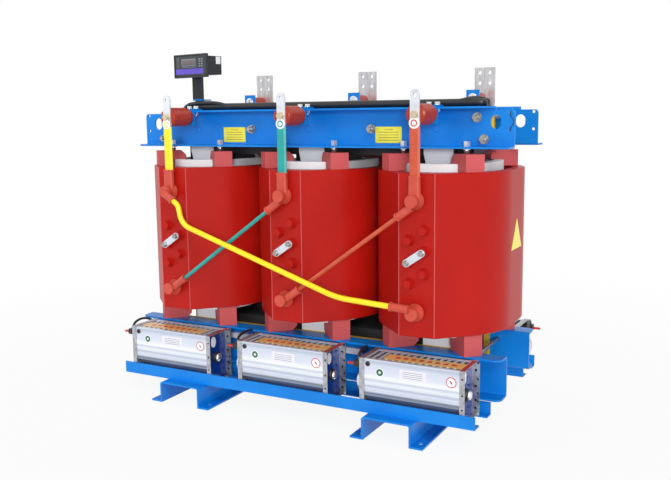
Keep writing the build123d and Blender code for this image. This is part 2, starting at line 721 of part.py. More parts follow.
def controller_post():
    """The folded bracket on the top yoke and the post that carries the controller."""
    base = COIL_MID_Z + WINDOW_HALF + YOKE_HEIGHT
    profile = Polyline(
        (-37, base), (-21, base), (-9, base + 12), (25, base + 12), (25, base + 16),
        (-11, base + 16), (-23, base + 4), (-37, base + 4), close=True)
    fold = extrude(Plane.XZ * make_face(profile), amount=22, both=True)
    bracket = Pos(POST_X, -38, 0) * fold
    x0, x1 = POST_X - POST_HALF, POST_X + POST_HALF
    top = CASE_Z + 6
    post = block(x0, x1, POST_Y, POST_Y + 4, base + 12, top)
    post += block(x1 - 4, x1, POST_Y, POST_Y + 15, base + 12, top)
    post += block(x0, x1, POST_Y, -50, base + 12, base + 16)
    return bracket + post + block(x0, x1, POST_Y, POST_Y + 26, top - 4, top)


def yoke_harness():
    """The black lead bundle laid along the front clamp and over the end of the core."""
    radius = 12.0
    z = UPPER_Z[1] + radius
    y = -UPPER_WEB_Y - 2
    path = FilletPolyline(
        (-500, y, z), (604, y, z), (604, y + 36, z), (604, y + 36, z - 84), radius=[16, 16])
    start = Plane(origin=path @ 0, z_dir=path % 0)
    return sweep(start * Circle(radius), path=path)


def wiring_duct():
    """The white duct on the web of a lower clamp that carries the fan leads."""
    y0 = -LOWER_WEB_Y - 16
    return block(-640, 201, y0, -LOWER_WEB_Y, 196, 216)


# ---- build and write ----------------------------------------------------------
def build_frame():
    save("foot_left", foot(-FOOT_X))
    save("foot_right", foot(FOOT_X))
    save("clamp_risers", *[riser(x, s) for x in (-FOOT_X, FOOT_X) for s in (-1, 1)])
    upper = upper_clamp()
    save("lower_clamp_front", lower_clamp(LOWER_HALF[0]))
    save("lower_clamp_rear", mirrored_y(lower_clamp(LOWER_HALF[1])))
    save("upper_clamp_front", upper)
    save("upper_clamp_rear", mirrored_y(upper))
    studs = [cross_stud(x, z, UPPER_WEB_Y) for x, z in stud_places()]
    studs += [cross_stud(x, z, LOWER_WEB_Y) for x, z in lower_stud_places()]
    save("cross_studs", *studs)
    bolts = []
    for x in PHASES:
        for sx in (-1, 1):
            for sy in (-1, 1):
                bolts.append(pressure_bolt(x + sx * BOLT_REACH, sy * (STRAIGHT + BOLT_REACH)))
    save("pressure_bolts", *bolts)


def build_core():
    for name, x in zip(PHASE_NAMES, PHASES):
        save("core_leg_" + name, core_leg(x))
    save("core_yoke_top", core_yoke(1))
    save("core_yoke_bottom", core_yoke(-1))
    save("leg_tie_plates", *[tie_plate(x, s) for x in PHASES for s in (-1, 1)])
    save("insulation_boards", *[insulation_board(s, u) for s in (-1, 1) for u in (True, False)])


def build_windings():
    for name, x in zip(PHASE_NAMES, PHASES):
        save("lv_coil_" + name, lv_coil(x))
        save("hv_coil_" + name, hv_coil(x))
    for label, upper in (("top", True), ("bottom", False)):
        blocks = [support_block(x, sx, sy, upper)
                  for x in PHASES for sx in (-1, 1) for sy in (-1, 1)]
        save("support_blocks_" + label, *blocks)


def build_hv():
    routes = [crossing_route(1), crossing_route(2)]
    long = long_route()
    for name, x in zip(PHASE_NAMES, PHASES):
        save("post_insulator_" + name, post_insulator(x))
        save("hv_terminal_" + name, terminal_bar(x))
        save("hv_lead_" + name, sleeved_bar(x))
    save("insulator_brackets", *[insulator_bracket(x) for x in PHASES])
    boots = [top_boot(PHASES[0], long[0], long[1]), bottom_boot(PHASES[2], long[-1], long[-2])]
    for index, route in enumerate(routes):
        boots.append(top_boot(PHASES[index + 1], route[0], route[1]))
        boots.append(bottom_boot(PHASES[index], route[3], route[2]))
    save("lead_boots", *boots)
    save("delta_link_a", long_link(9))
    save("delta_link_b", crossing_link(1, 6.5))
    save("delta_link_c", crossing_link(2, 7))
    save("tap_links", *[tap_link(x) for x in PHASES])
    save("tap_bolts", *[tap_bolt(x + px, pz) for x in PHASES for px, pz in link_places()])


def build_lv():
    for name, x in zip(PHASE_NAMES, PHASES):
        save("lv_terminal_" + name, lv_terminal(x))
    save("lv_supports", *[lv_support(x) for x in PHASES])
    save("lv_brackets", *[lv_bracket(x) for x in PHASES])


def build_fans():
    front_half, rear_half = RAIL_HALF
    save("fan_rails", *rail_pair(front_half), *[mirrored_y(r) for r in rail_pair(rear_half)])
    covers = [fan_cover(x) for x in PHASES]
    ends = [fan_end(x, s) for x in PHASES for s in (-1, 1)]
    motors = [fan_motor(x) for x in PHASES]
    bearings = [fan_bearing(x) for x in PHASES]
    save("fan_covers", *covers, *[turned_round(c) for c in covers])
    save("fan_end_plates", *ends, *[turned_round(e) for e in ends])
    save("fan_motors", *motors, *[turned_round(m) for m in motors])
    save("fan_bearings", *bearings, *[turned_round(b) for b in bearings])
    for name, x in zip(PHASE_NAMES, PHASES):
        save("impeller_front_" + name, fan_impeller(x))
        save("impeller_rear_" + name, turned_round(fan_impeller(-x)))


def build_control():
    save("controller", controller())
    save("controller_post", controller_post())
    save("yoke_harness", yoke_harness())
    duct = wiring_duct()
    save("wiring_ducts", duct, mirrored_y(duct))


os.makedirs("parts", exist_ok=True)
build_frame()
build_core()
build_windings()
build_hv()
build_lv()
build_fans()
build_control()
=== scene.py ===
"""Looks of a three-phase cast-resin dry-type transformer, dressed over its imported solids.

Every length is in metres, +Z is up, X runs along the row of coils and the high-voltage front faces -Y.
"""

import logging
import math
from dataclasses import dataclass
from enum import Enum
from typing import Mapping, Optional, Protocol, Sequence, Union

import bmesh
import bpy
from mathutils import Matrix, Vector


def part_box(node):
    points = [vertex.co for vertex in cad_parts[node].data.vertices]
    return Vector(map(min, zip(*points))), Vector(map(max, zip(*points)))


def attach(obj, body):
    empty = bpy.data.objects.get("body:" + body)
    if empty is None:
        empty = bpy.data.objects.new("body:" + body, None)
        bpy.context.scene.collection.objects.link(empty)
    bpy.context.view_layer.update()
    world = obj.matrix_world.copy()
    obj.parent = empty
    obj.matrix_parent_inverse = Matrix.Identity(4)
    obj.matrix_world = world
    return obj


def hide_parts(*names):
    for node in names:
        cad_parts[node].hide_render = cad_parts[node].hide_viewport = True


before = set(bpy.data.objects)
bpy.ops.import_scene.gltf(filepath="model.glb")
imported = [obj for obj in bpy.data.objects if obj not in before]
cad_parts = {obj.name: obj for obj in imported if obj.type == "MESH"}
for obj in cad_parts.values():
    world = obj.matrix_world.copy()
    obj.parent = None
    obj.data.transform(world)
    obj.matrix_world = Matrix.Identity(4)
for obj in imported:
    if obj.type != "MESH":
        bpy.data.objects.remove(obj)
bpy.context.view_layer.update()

LOG = logging.getLogger("transformer")

Point = tuple[float, float, float]
Flat = tuple[float, float]
Colour = tuple[float, float, float]
BODY = "transformer"


def hue(code: str) -> Colour:
    """Turns a six-digit display colour into the linear values that shaders use.

    Args:
        code: the colour as hexadecimal digits, such as "c8281e".

    Returns:
        The three linear components.
    """
    parts = [int(code[i:i + 2], 16) / 255 for i in (0, 2, 4)]
    return tuple(p / 12.92 if p <= 0.04045 else ((p + 0.055) / 1.055) ** 2.4 for p in parts)


# ---------------------------------------------------------------------------
# Shader writing
# ---------------------------------------------------------------------------


class Socket:
    """A shader value that Python operators turn into Math nodes."""

    def __init__(self, shader: "Shader", link: bpy.types.NodeSocket) -> None:
        """Keeps the node tree and the output that the value comes from."""
        self.shader = shader
        self.link = link

    def _math(self, operation: str, *values: Union["Socket", float]) -> "Socket":
        """Adds one Math node.

        Args:
            operation: the Math node's operation.
            values: its inputs, in order.

        Returns:
            The node's result.
        """
        return self.shader.node("ShaderNodeMath", {"operation": operation}, dict(enumerate(values)))

    def __add__(self, other: Union["Socket", float]) -> "Socket":
        """Sum."""
        return self._math("ADD", self, other)

    def __radd__(self, other: float) -> "Socket":
        """Sum with a number on the left."""
        return self._math("ADD", other, self)

    def __sub__(self, other: Union["Socket", float]) -> "Socket":
        """Difference."""
        return self._math("SUBTRACT", self, other)

    def __rsub__(self, other: float) -> "Socket":
        """Difference with a number on the left."""
        return self._math("SUBTRACT", other, self)

    def __mul__(self, other: Union["Socket", float]) -> "Socket":
        """Product."""
        return self._math("MULTIPLY", self, other)

    def __rmul__(self, other: float) -> "Socket":
        """Product with a number on the left."""
        return self._math("MULTIPLY", other, self)

    def __truediv__(self, other: Union["Socket", float]) -> "Socket":
        """Quotient."""
        return self._math("DIVIDE", self, other)

    def __rtruediv__(self, other: float) -> "Socket":
        """Quotient with a number on the left."""
        return self._math("DIVIDE", other, self)

    def __pow__(self, other: float) -> "Socket":
        """Power."""
        return self._math("POWER", self, other)

    def __gt__(self, other: Union["Socket", float]) -> "Socket":
        """One where this value is larger."""
        return self._math("GREATER_THAN", self, other)

    def __lt__(self, other: Union["Socket", float]) -> "Socket":
        """One where this value is smaller."""
        return self._math("LESS_THAN", self, other)

    def clamp(self) -> "Socket":
        """The value held between zero and one."""
        return self._math("MAXIMUM", self._math("MINIMUM", self, 1.0), 0.0)

    def fraction(self) -> "Socket":
        """The part after the decimal point."""
        return self._math("FRACT", self)

    def size(self) -> "Socket":
        """The value without its sign."""
        return self._math("ABSOLUTE", self)

    def ramp(self, low: float, high: float) -> "Socket":
        """Rises smoothly from zero at low to one at high.

        Args:
            low: where the rise starts.
            high: where it ends.

        Returns:
            The risen value, between zero and one.
        """
        return self.shader.node(
            "ShaderNodeMapRange", {"interpolation_type": "SMOOTHSTEP"},
            {"Value": self, "From Min": low, "From Max": high, "To Min": 0.0, "To Max": 1.0})


Value = Union[Socket, float, Sequence[float]]


class Shader:
    """The node tree of one material or of the world."""

    def __init__(self, owner: Union[str, bpy.types.World]) -> None:
        """Empties the tree of a new material or of the world.

        Args:
            owner: the new material's name, or the world.
        """
        self.owner = bpy.data.materials.new(owner) if isinstance(owner, str) else owner
        self.owner.use_nodes = True
        self.tree = self.owner.node_tree
        self.tree.nodes.clear()
        self._place: Optional[Socket] = None

    def node(self, kind: str, settings: Optional[Mapping[str, object]] = None,
             inputs: Optional[Mapping[Union[int, str], Value]] = None,
             output: Union[int, str] = 0) -> Socket:
        """Adds a node of any type.

        Args:
            kind: the node's type.
            settings: properties set first; "stops" holds a ramp's positions and colours.
            inputs: socket names or numbers, with the value or link of each.
            output: which output is returned.

        Returns:
            The chosen output.
        """
        made = self.tree.nodes.new(kind)
        for key, value in (settings or {}).items():
            if key == "stops":
                self._set_stops(made.color_ramp, value)
            else:
                setattr(made, key, value)
        for key, value in (inputs or {}).items():
            if isinstance(value, Socket):
                self.tree.links.new(value.link, made.inputs[key])
            else:
                made.inputs[key].default_value = value
        return Socket(self, made.outputs[output]) if made.outputs else Socket(self, None)

    @staticmethod
    def _set_stops(ramp: bpy.types.ColorRamp, stops: Sequence[tuple[float, Colour]]) -> None:
        """Writes the stops of a colour ramp.

        Args:
            ramp: the ramp.
            stops: positions and colours, at least two.
        """
        while len(ramp.elements) < len(stops):
            ramp.elements.new(0.5)
        for element, (position, colour) in zip(ramp.elements, stops):
            element.position = position
            element.color = (*colour, 1.0)

    @property
    def place(self) -> Socket:
        """The position on the piece, in metres in the object's own frame."""
        if self._place is None:
            self._place = self.node("ShaderNodeTexCoord", output="Object")
        return self._place

    def axes(self) -> tuple[Socket, Socket, Socket]:
        """The three parts of the position."""
        kind = "ShaderNodeSeparateXYZ"
        return tuple(self.node(kind, None, {0: self.place}, i) for i in range(3))

    def noise(self, scale: float, detail: float = 2.0, stretch: Optional[Point] = None,
              roughness: float = 0.5) -> Socket:
        """Noise over the piece.

        Args:
            scale: features per metre.
            detail: how many finer layers are added.
            stretch: factors that squeeze the pattern along each axis.
            roughness: how strong the finer layers are.

        Returns:
            A value near one half.
        """
        where = self.place
        if stretch:
            where = self.node("ShaderNodeMapping", None, {0: where, "Scale": stretch})
        return self.node("ShaderNodeTexNoise", None, {
            "Vector": where, "Scale": scale, "Detail": detail, "Roughness": roughness})

    def mix(self, first: Value, second: Value, amount: Union[Socket, float]) -> Socket:
        """Blends two colours.

        Args:
            first: the colour at zero.
            second: the colour at one.
            amount: the share of the second.

        Returns:
            The blended colour.
        """
        def filled(value: Value) -> Value:
            """A colour with its fourth part."""
            return value if isinstance(value, Socket) else (*value, 1.0)
        return self.node("ShaderNodeMix", {"data_type": "RGBA"},
                         {0: amount, 6: filled(first), 7: filled(second)}, 2)

    def bump(self, height: Socket, depth: float, strength: float = 1.0) -> Socket:
        """Turns a height into a surface direction.

        Args:
            height: the height, zero to one.
            depth: how deep one unit is, in metres.
            strength: how much of it shows.

        Returns:
            The direction for a Normal socket.
        """
        return self.node("ShaderNodeBump", None,
                         {"Height": height, "Distance": depth, "Strength": strength})

    def seen(self) -> Socket:
        """One for rays that come from the camera, out of a gloss or through something clear."""
        camera, glossy, passed = (self.node("ShaderNodeLightPath", output=f"Is {kind} Ray")
                                  for kind in ("Camera", "Glossy", "Transmission"))
        return (camera + glossy + passed).clamp()

    def surface(self, constants: Mapping[str, Value], varied: Mapping[str, Value]) -> bpy.types.Material:
        """Ends the material with a Principled surface.

        Args:
            constants: values set on the shader's own sockets.
            varied: links to the sockets that change over the surface.

        Returns:
            The material.
        """
        shade = self.node("ShaderNodeBsdfPrincipled", None, {**constants, **varied})
        self.node("ShaderNodeOutputMaterial", None, {"Surface": shade})
        return self.owner


# ---------------------------------------------------------------------------
# Finishes
# ---------------------------------------------------------------------------


class Finish(Protocol):
    """Anything that makes one named material."""

    @property
    def name(self) -> str:
        """The material's name."""

    def build(self) -> bpy.types.Material:
        """Makes the material."""


class Grain(Enum):
    """The direction in which a metal was rolled or brushed."""

    ALONG_X = (1.0, 40.0, 40.0)
    ALONG_Y = (40.0, 1.0, 40.0)
    ALONG_Z = (40.0, 40.0, 1.0)


class Stack(Enum):
    """Which way the sheet edges of a core part run on its long faces."""

    LEVEL = "level"
    UPRIGHT = "upright"


@dataclass(frozen=True)
class Enamel:
    """Gloss paint on steel, with a slight orange-peel texture and faint cloudiness."""

    name: str
    colour: Colour
    shade: Colour
    roughness: float = 0.3
    coat: float = 0.08
    peel: float = 0.00006
    gloss: float = 0.25

    def build(self) -> bpy.types.Material:
        """Makes the material."""
        s = Shader(self.name)
        cloud = s.noise(7.0, 3.0).ramp(0.35, 0.7)
        fine = s.noise(420.0, 1.0)
        scuff = s.noise(30.0, 4.0, (1.0, 1.0, 5.0), 0.7).ramp(0.62, 0.78)
        colour = s.mix(self.colour, self.shade, cloud * 0.5 + scuff * 0.12)
        return s.surface(
            {"Coat Roughness": 0.08, "Specular IOR Level": self.gloss},
            {"Base Color": colour, "Roughness": self.roughness + cloud * 0.08 + scuff * 0.1,
             "Coat Weight": self.coat - scuff * self.coat * 0.5,
             "Normal": s.bump(fine, self.peel, 0.6)})


@dataclass(frozen=True)
class CastResin:
    """Filled casting resin: clouded colour, shallow waves and fine specks."""

    name: str
    colour: Colour
    deep: Colour
    roughness: float = 0.34
    wave: float = 0.0004
    coat: float = 0.0
    gloss: float = 0.2

    def build(self) -> bpy.types.Material:
        """Makes the material."""
        s = Shader(self.name)
        cloud = s.noise(5.0, 4.0, (1.0, 1.0, 0.6)).ramp(0.3, 0.72)
        speck = s.noise(900.0, 1.0).ramp(0.6, 0.85)
        wave = s.noise(14.0, 2.0, (1.0, 1.0, 0.35))
        fine = s.noise(260.0, 2.0)
        colour = s.mix(self.colour, self.deep, cloud * 0.55 + speck * 0.18)
        return s.surface(
            {"Coat Roughness": 0.2, "Specular IOR Level": self.gloss},
            {"Base Color": colour, "Roughness": self.roughness + fine * 0.1 - cloud * 0.04,
             "Coat Weight": self.coat + cloud * 0.03,
             "Normal": s.bump(wave * 0.9 + fine * 0.1, self.wave, 0.5)})


@dataclass(frozen=True)
class SheetStack:
    """Black-varnished core steel whose sheet edges show as fine lines."""

    name: str
    run: Stack
    dark: Colour = hue("131316")
    light: Colour = hue("3c3d42")
    pitch: float = 0.0035

    def build(self) -> bpy.types.Material:
        """Makes the material."""
        s = Shader(self.name)
        x, y, z = s.axes()
        face = z if self.run is Stack.LEVEL else x
        squeeze = (0.6, 30.0, 90.0) if self.run is Stack.LEVEL else (90.0, 30.0, 0.6)
        edge = ((face / self.pitch).fraction() - 0.5).size().ramp(0.3, 0.5)
        stack_edge = ((y / self.pitch).fraction() - 0.5).size().ramp(0.3, 0.5)
        streak = s.noise(2.2, 3.0, squeeze, 0.6)
        shine = streak.ramp(0.5, 0.72)
        lines = (edge * 0.5 + stack_edge * 0.5) * streak.ramp(0.3, 0.65)
        colour = s.mix(self.dark, self.light, (lines * 0.55 + shine * 0.45).clamp())
        return s.surface(
            {"Specular IOR Level": 0.4},
            {"Base Color": colour, "Roughness": 0.5 - shine * 0.16,
             "Metallic": shine * 0.35,
             "Normal": s.bump(lines, 0.0006, 0.7)})


@dataclass(frozen=True)
class BrushedMetal:
    """Bare rolled or brushed metal with long fine grain and dull patches."""

    name: str
    colour: Colour
    dull: Colour
    grain: Grain = Grain.ALONG_X
    roughness: float = 0.3
    metallic: float = 1.0

    def build(self) -> bpy.types.Material:
        """Makes the material."""
        s = Shader(self.name)
        hair = s.noise(9.0, 3.0, self.grain.value, 0.65)
        patch = s.noise(18.0, 3.0).ramp(0.42, 0.7)
        colour = s.mix(self.colour, self.dull, patch * 0.4 + hair * 0.25)
        return s.surface(
            {"Metallic": self.metallic},
            {"Base Color": colour, "Roughness": self.roughness + hair * 0.12 + patch * 0.1,
             "Normal": s.bump(hair, 0.0001, 0.5)})


@dataclass(frozen=True)
class PaintedLightBandSheet:
    """Drawn aluminium section with painted highlights and shade, set by height for how light falls on its
    curved bands.
    """

    name: str
    bands: tuple[tuple[float, Colour], ...]
    low: float
    high: float
    film: Colour = hue("aeb6c4")

    def build(self) -> bpy.types.Material:
        """Makes the material."""
        s = Shader(self.name)
        _, _, z = s.axes()
        share = ((z - self.low) / (self.high - self.low)).clamp()
        stops = [((height - self.low) / (self.high - self.low), colour) for height, colour in self.bands]
        # painted highlights and shade: the colour is picked by height
        tone = s.node("ShaderNodeValToRGB", {"stops": stops}, {0: share})
        hair = s.noise(9.0, 3.0, Grain.ALONG_X.value, 0.65)
        patch = s.noise(14.0, 3.0).ramp(0.45, 0.75)
        colour = s.mix(tone, self.film, hair * 0.12 + patch * 0.08)
        return s.surface(
            {"Metallic": 0.4},
            {"Base Color": colour, "Roughness": 0.3 + hair * 0.12,
             "Normal": s.bump(hair, 0.0001, 0.4)})


@dataclass(frozen=True)
class StreakedBar:
    """Tinned copper bar: grey with fine upright streaks, and pink where the tin is thin near its foot."""

    name: str
    tin: Colour = hue("d9d9da")
    dull: Colour = hue("a5a3a1")
    copper: Colour = hue("c98673")
    bare_z: tuple[float, float] = (1.035, 1.095)

    def build(self) -> bpy.types.Material:
        """Makes the material."""
        s = Shader(self.name)
        _, _, z = s.axes()
        streak = s.noise(8.0, 4.0, (30.0, 30.0, 2.0), 0.7)
        patch = s.noise(45.0, 3.0, (1.6, 1.6, 0.6))
        bare = (1.0 - z.ramp(*self.bare_z)) * patch.ramp(0.4, 0.6)
        grey = s.mix(self.tin, self.dull, streak.ramp(0.4, 0.62) * 0.6)
        return s.surface(
            {"Metallic": 0.55},
            {"Base Color": s.mix(grey, self.copper, bare * 0.75), "Roughness": 0.34 + streak * 0.2,
             "Normal": s.bump(streak, 0.0001, 0.5)})


@dataclass(frozen=True)
class BoltedBar:
    """Tinned terminal bar; whatever stands in front of its face is a yellow-passivated bolt."""

    name: str
    face_y: float
    bolt_z: float
    tin: Colour = hue("e8ebf2")
    dull: Colour = hue("b9c0cc")
    brass: Colour = hue("c8b27a")

    def build(self) -> bpy.types.Material:
        """Makes the material."""
        s = Shader(self.name)
        _, y, z = s.axes()
        hair = s.noise(9.0, 3.0, Grain.ALONG_Z.value, 0.65)
        patch = s.noise(22.0, 3.0).ramp(0.45, 0.7)
        bolt = (y < self.face_y) * (z > self.bolt_z)
        metal = s.mix(self.tin, self.dull, patch * 0.4 + hair * 0.3)
        return s.surface(
            {"Metallic": 0.6},
            {"Base Color": s.mix(metal, self.brass, bolt * 0.7), "Roughness": 0.28 + hair * 0.14,
             "Normal": s.bump(hair, 0.0001, 0.5)})


@dataclass(frozen=True)
class TwoTonePaint:
    """Satin paint in one colour below a height and another above it."""

    name: str
    below: Colour
    above: Colour
    height: float
    dust: Colour = hue("50555e")

    def build(self) -> bpy.types.Material:
        """Makes the material."""
        s = Shader(self.name)
        _, _, z = s.axes()
        cloud = s.noise(30.0, 3.0)
        fine = s.noise(420.0, 1.0)
        colour = s.mix(self.below, self.above, z > self.height)
        return s.surface(
            {"Specular IOR Level": 0.3},
            {"Base Color": s.mix(colour, self.dust, cloud.ramp(0.5, 0.75) * 0.15),
             "Roughness": 0.34 + cloud * 0.12, "Normal": s.bump(fine, 0.00006, 0.5)})


@dataclass(frozen=True)
class Galvanised:
    """Zinc-dipped sheet with its crystal spangle."""

    name: str
    light: Colour = hue("dfe3e8")
    dark: Colour = hue("9aa1a9")
    spangle: float = 120.0

    def build(self) -> bpy.types.Material:
        """Makes the material."""
        s = Shader(self.name)
        cell = s.node("ShaderNodeTexVoronoi", None, {"Vector": s.place, "Scale": self.spangle}, "Color")
        tone = s.node("ShaderNodeSeparateColor", None, {0: cell}, 0)
        cloud = s.noise(20.0, 3.0)
        colour = s.mix(self.dark, self.light, (tone * 0.45 + cloud * 0.6).clamp())
        return s.surface(
            {"Metallic": 0.85},
            {"Base Color": colour, "Roughness": 0.34 + tone * 0.16,
             "Normal": s.bump(tone, 0.0001, 0.3)})


@dataclass(frozen=True)
class PlatedBolt:
    """Zinc plating with a faint yellow passivated bloom."""

    name: str
    bright: Colour = hue("e8e8e4")
    bloom: Colour = hue("c9ab5c")

    def build(self) -> bpy.types.Material:
        """Makes the material."""
        s = Shader(self.name)
        bloom = s.noise(70.0, 2.0).ramp(0.42, 0.66)
        wear = s.noise(400.0, 2.0)
        colour = s.mix(self.bright, self.bloom, bloom * 0.7)
        return s.surface(
            {"Metallic": 0.9},
            {"Base Color": colour, "Roughness": 0.24 + wear * 0.16,
             "Normal": s.bump(wear, 0.00005, 0.4)})


@dataclass(frozen=True)
class SoftMoulding:
    """Moulded rubber or heat-shrunk sleeve with slow waves and a soft sheen."""

    name: str
    colour: Colour
    deep: Colour
    roughness: float = 0.36
    coat: float = 0.15
    ripple: float = 0.0003

    def build(self) -> bpy.types.Material:
        """Makes the material."""
        s = Shader(self.name)
        slow = s.noise(24.0, 2.0)
        fine = s.noise(300.0, 2.0)
        colour = s.mix(self.colour, self.deep, slow.ramp(0.38, 0.7) * 0.6)
        return s.surface(
            {"Coat Roughness": 0.15},
            {"Base Color": colour, "Roughness": self.roughness + fine * 0.1,
             "Coat Weight": self.coat + slow * 0.1,
             "Normal": s.bump(slow * 0.8 + fine * 0.2, self.ripple, 0.6)})


@dataclass(frozen=True)
class Moulding:
    """Hard moulded or pressed material with a fine spark-eroded grain."""

    name: str
    colour: Colour
    shade: Colour
    roughness: float = 0.5
    grain: float = 700.0

    def build(self) -> bpy.types.Material:
        """Makes the material."""
        s = Shader(self.name)
        grain = s.noise(self.grain, 2.0)
        cloud = s.noise(12.0, 3.0).ramp(0.35, 0.7)
        colour = s.mix(self.colour, self.shade, cloud * 0.5 + grain * 0.15)
        return s.surface(
            {"Specular IOR Level": 0.4},
            {"Base Color": colour, "Roughness": self.roughness + grain * 0.12,
             "Normal": s.bump(grain, 0.0001, 0.4)})


@dataclass(frozen=True)
class PressedBoard:
    """Yellow laminated insulation board with a fibre grain and darker layers."""

    name: str
    colour: Colour = hue("efc63a")
    shade: Colour = hue("b98d22")

    def build(self) -> bpy.types.Material:
        """Makes the material."""
        s = Shader(self.name)
        fibre = s.noise(10.0, 4.0, (2.0, 25.0, 25.0), 0.7)
        layer = s.noise(3.0, 2.0, (0.5, 120.0, 4.0)).ramp(0.45, 0.6)
        colour = s.mix(self.colour, self.shade, fibre * 0.5 + layer * 0.25)
        return s.surface(
            {"Specular IOR Level": 0.35},
            {"Base Color": colour, "Roughness": 0.5 + fibre * 0.2,
             "Normal": s.bump(fibre, 0.0002, 0.6)})


@dataclass(frozen=True)
class PrintedField:
    """A plain glossy film in one colour, a little faded in places."""

    name: str
    colour: Colour
    faded: Colour
    roughness: float = 0.3

    def build(self) -> bpy.types.Material:
        """Makes the material."""
        s = Shader(self.name)
        fade = s.noise(60.0, 3.0).ramp(0.4, 0.75)
        film = s.noise(500.0, 1.0)
        return s.surface(
            {"Coat Roughness": 0.1},
            {"Base Color": s.mix(self.colour, self.faded, fade * 0.5),
             "Roughness": self.roughness + fade * 0.1, "Coat Weight": 0.2 + film * 0.1,
             "Normal": s.bump(film, 0.00004, 0.3)})


@dataclass(frozen=True)
class StudioGround:
    """The white floor: it keeps a faint shadow near the object and fades to the backdrop."""

    name: str
    colour: Colour = (0.9, 0.9, 0.905)
    shade: Colour = (0.89, 0.89, 0.895)
    near: float = 0.9
    fade: tuple[float, float] = (1.1, 3.0)

    def build(self) -> bpy.types.Material:
        """Makes the material."""
        s = Shader(self.name)
        x, y, _ = s.axes()
        tone = s.noise(0.8, 2.0)
        shade = s.node("ShaderNodeBsdfPrincipled", None, {
            "Roughness": 0.9, "Specular IOR Level": 0.1,
            "Base Color": s.mix(self.colour, self.shade, tone)})
        glow = s.node("ShaderNodeEmission", None, {"Color": (1.0, 1.0, 1.0, 1.0), "Strength": 1.0})
        far = ((x * x + y * y) ** 0.5).ramp(*self.fade)
        both = s.node("ShaderNodeMixShader", None, {
            0: s.seen() * (self.near + far * (1.0 - self.near)), 1: shade, 2: glow})
        s.node("ShaderNodeOutputMaterial", None, {"Surface": both})
        return s.owner


# Painted highlights and shade on the fan section by height, for how light falls on it: the dark cove at its
# foot, three scallops and the plain upper face.
FAN_PAINTED_LIGHT_BANDS: tuple[tuple[float, Colour], ...] = (
    (0.100, hue("8e9fbe")), (0.124, hue("94a2ba")), (0.134, hue("788294")), (0.138, hue("8c97aa")),
    (0.143, hue("d6dce8")), (0.151, hue("dfe5f2")), (0.158, hue("bcc6d8")), (0.163, hue("e2e8f1")),
    (0.172, hue("f0f4fa")), (0.179, hue("c8d2e0")), (0.185, hue("f8fbff")), (0.192, hue("f4f8fd")),
    (0.200, hue("e2e8f4")), (0.226, hue("d8deee")), (0.238, hue("b8c4d6")), (0.2465, hue("e4ecf6")))


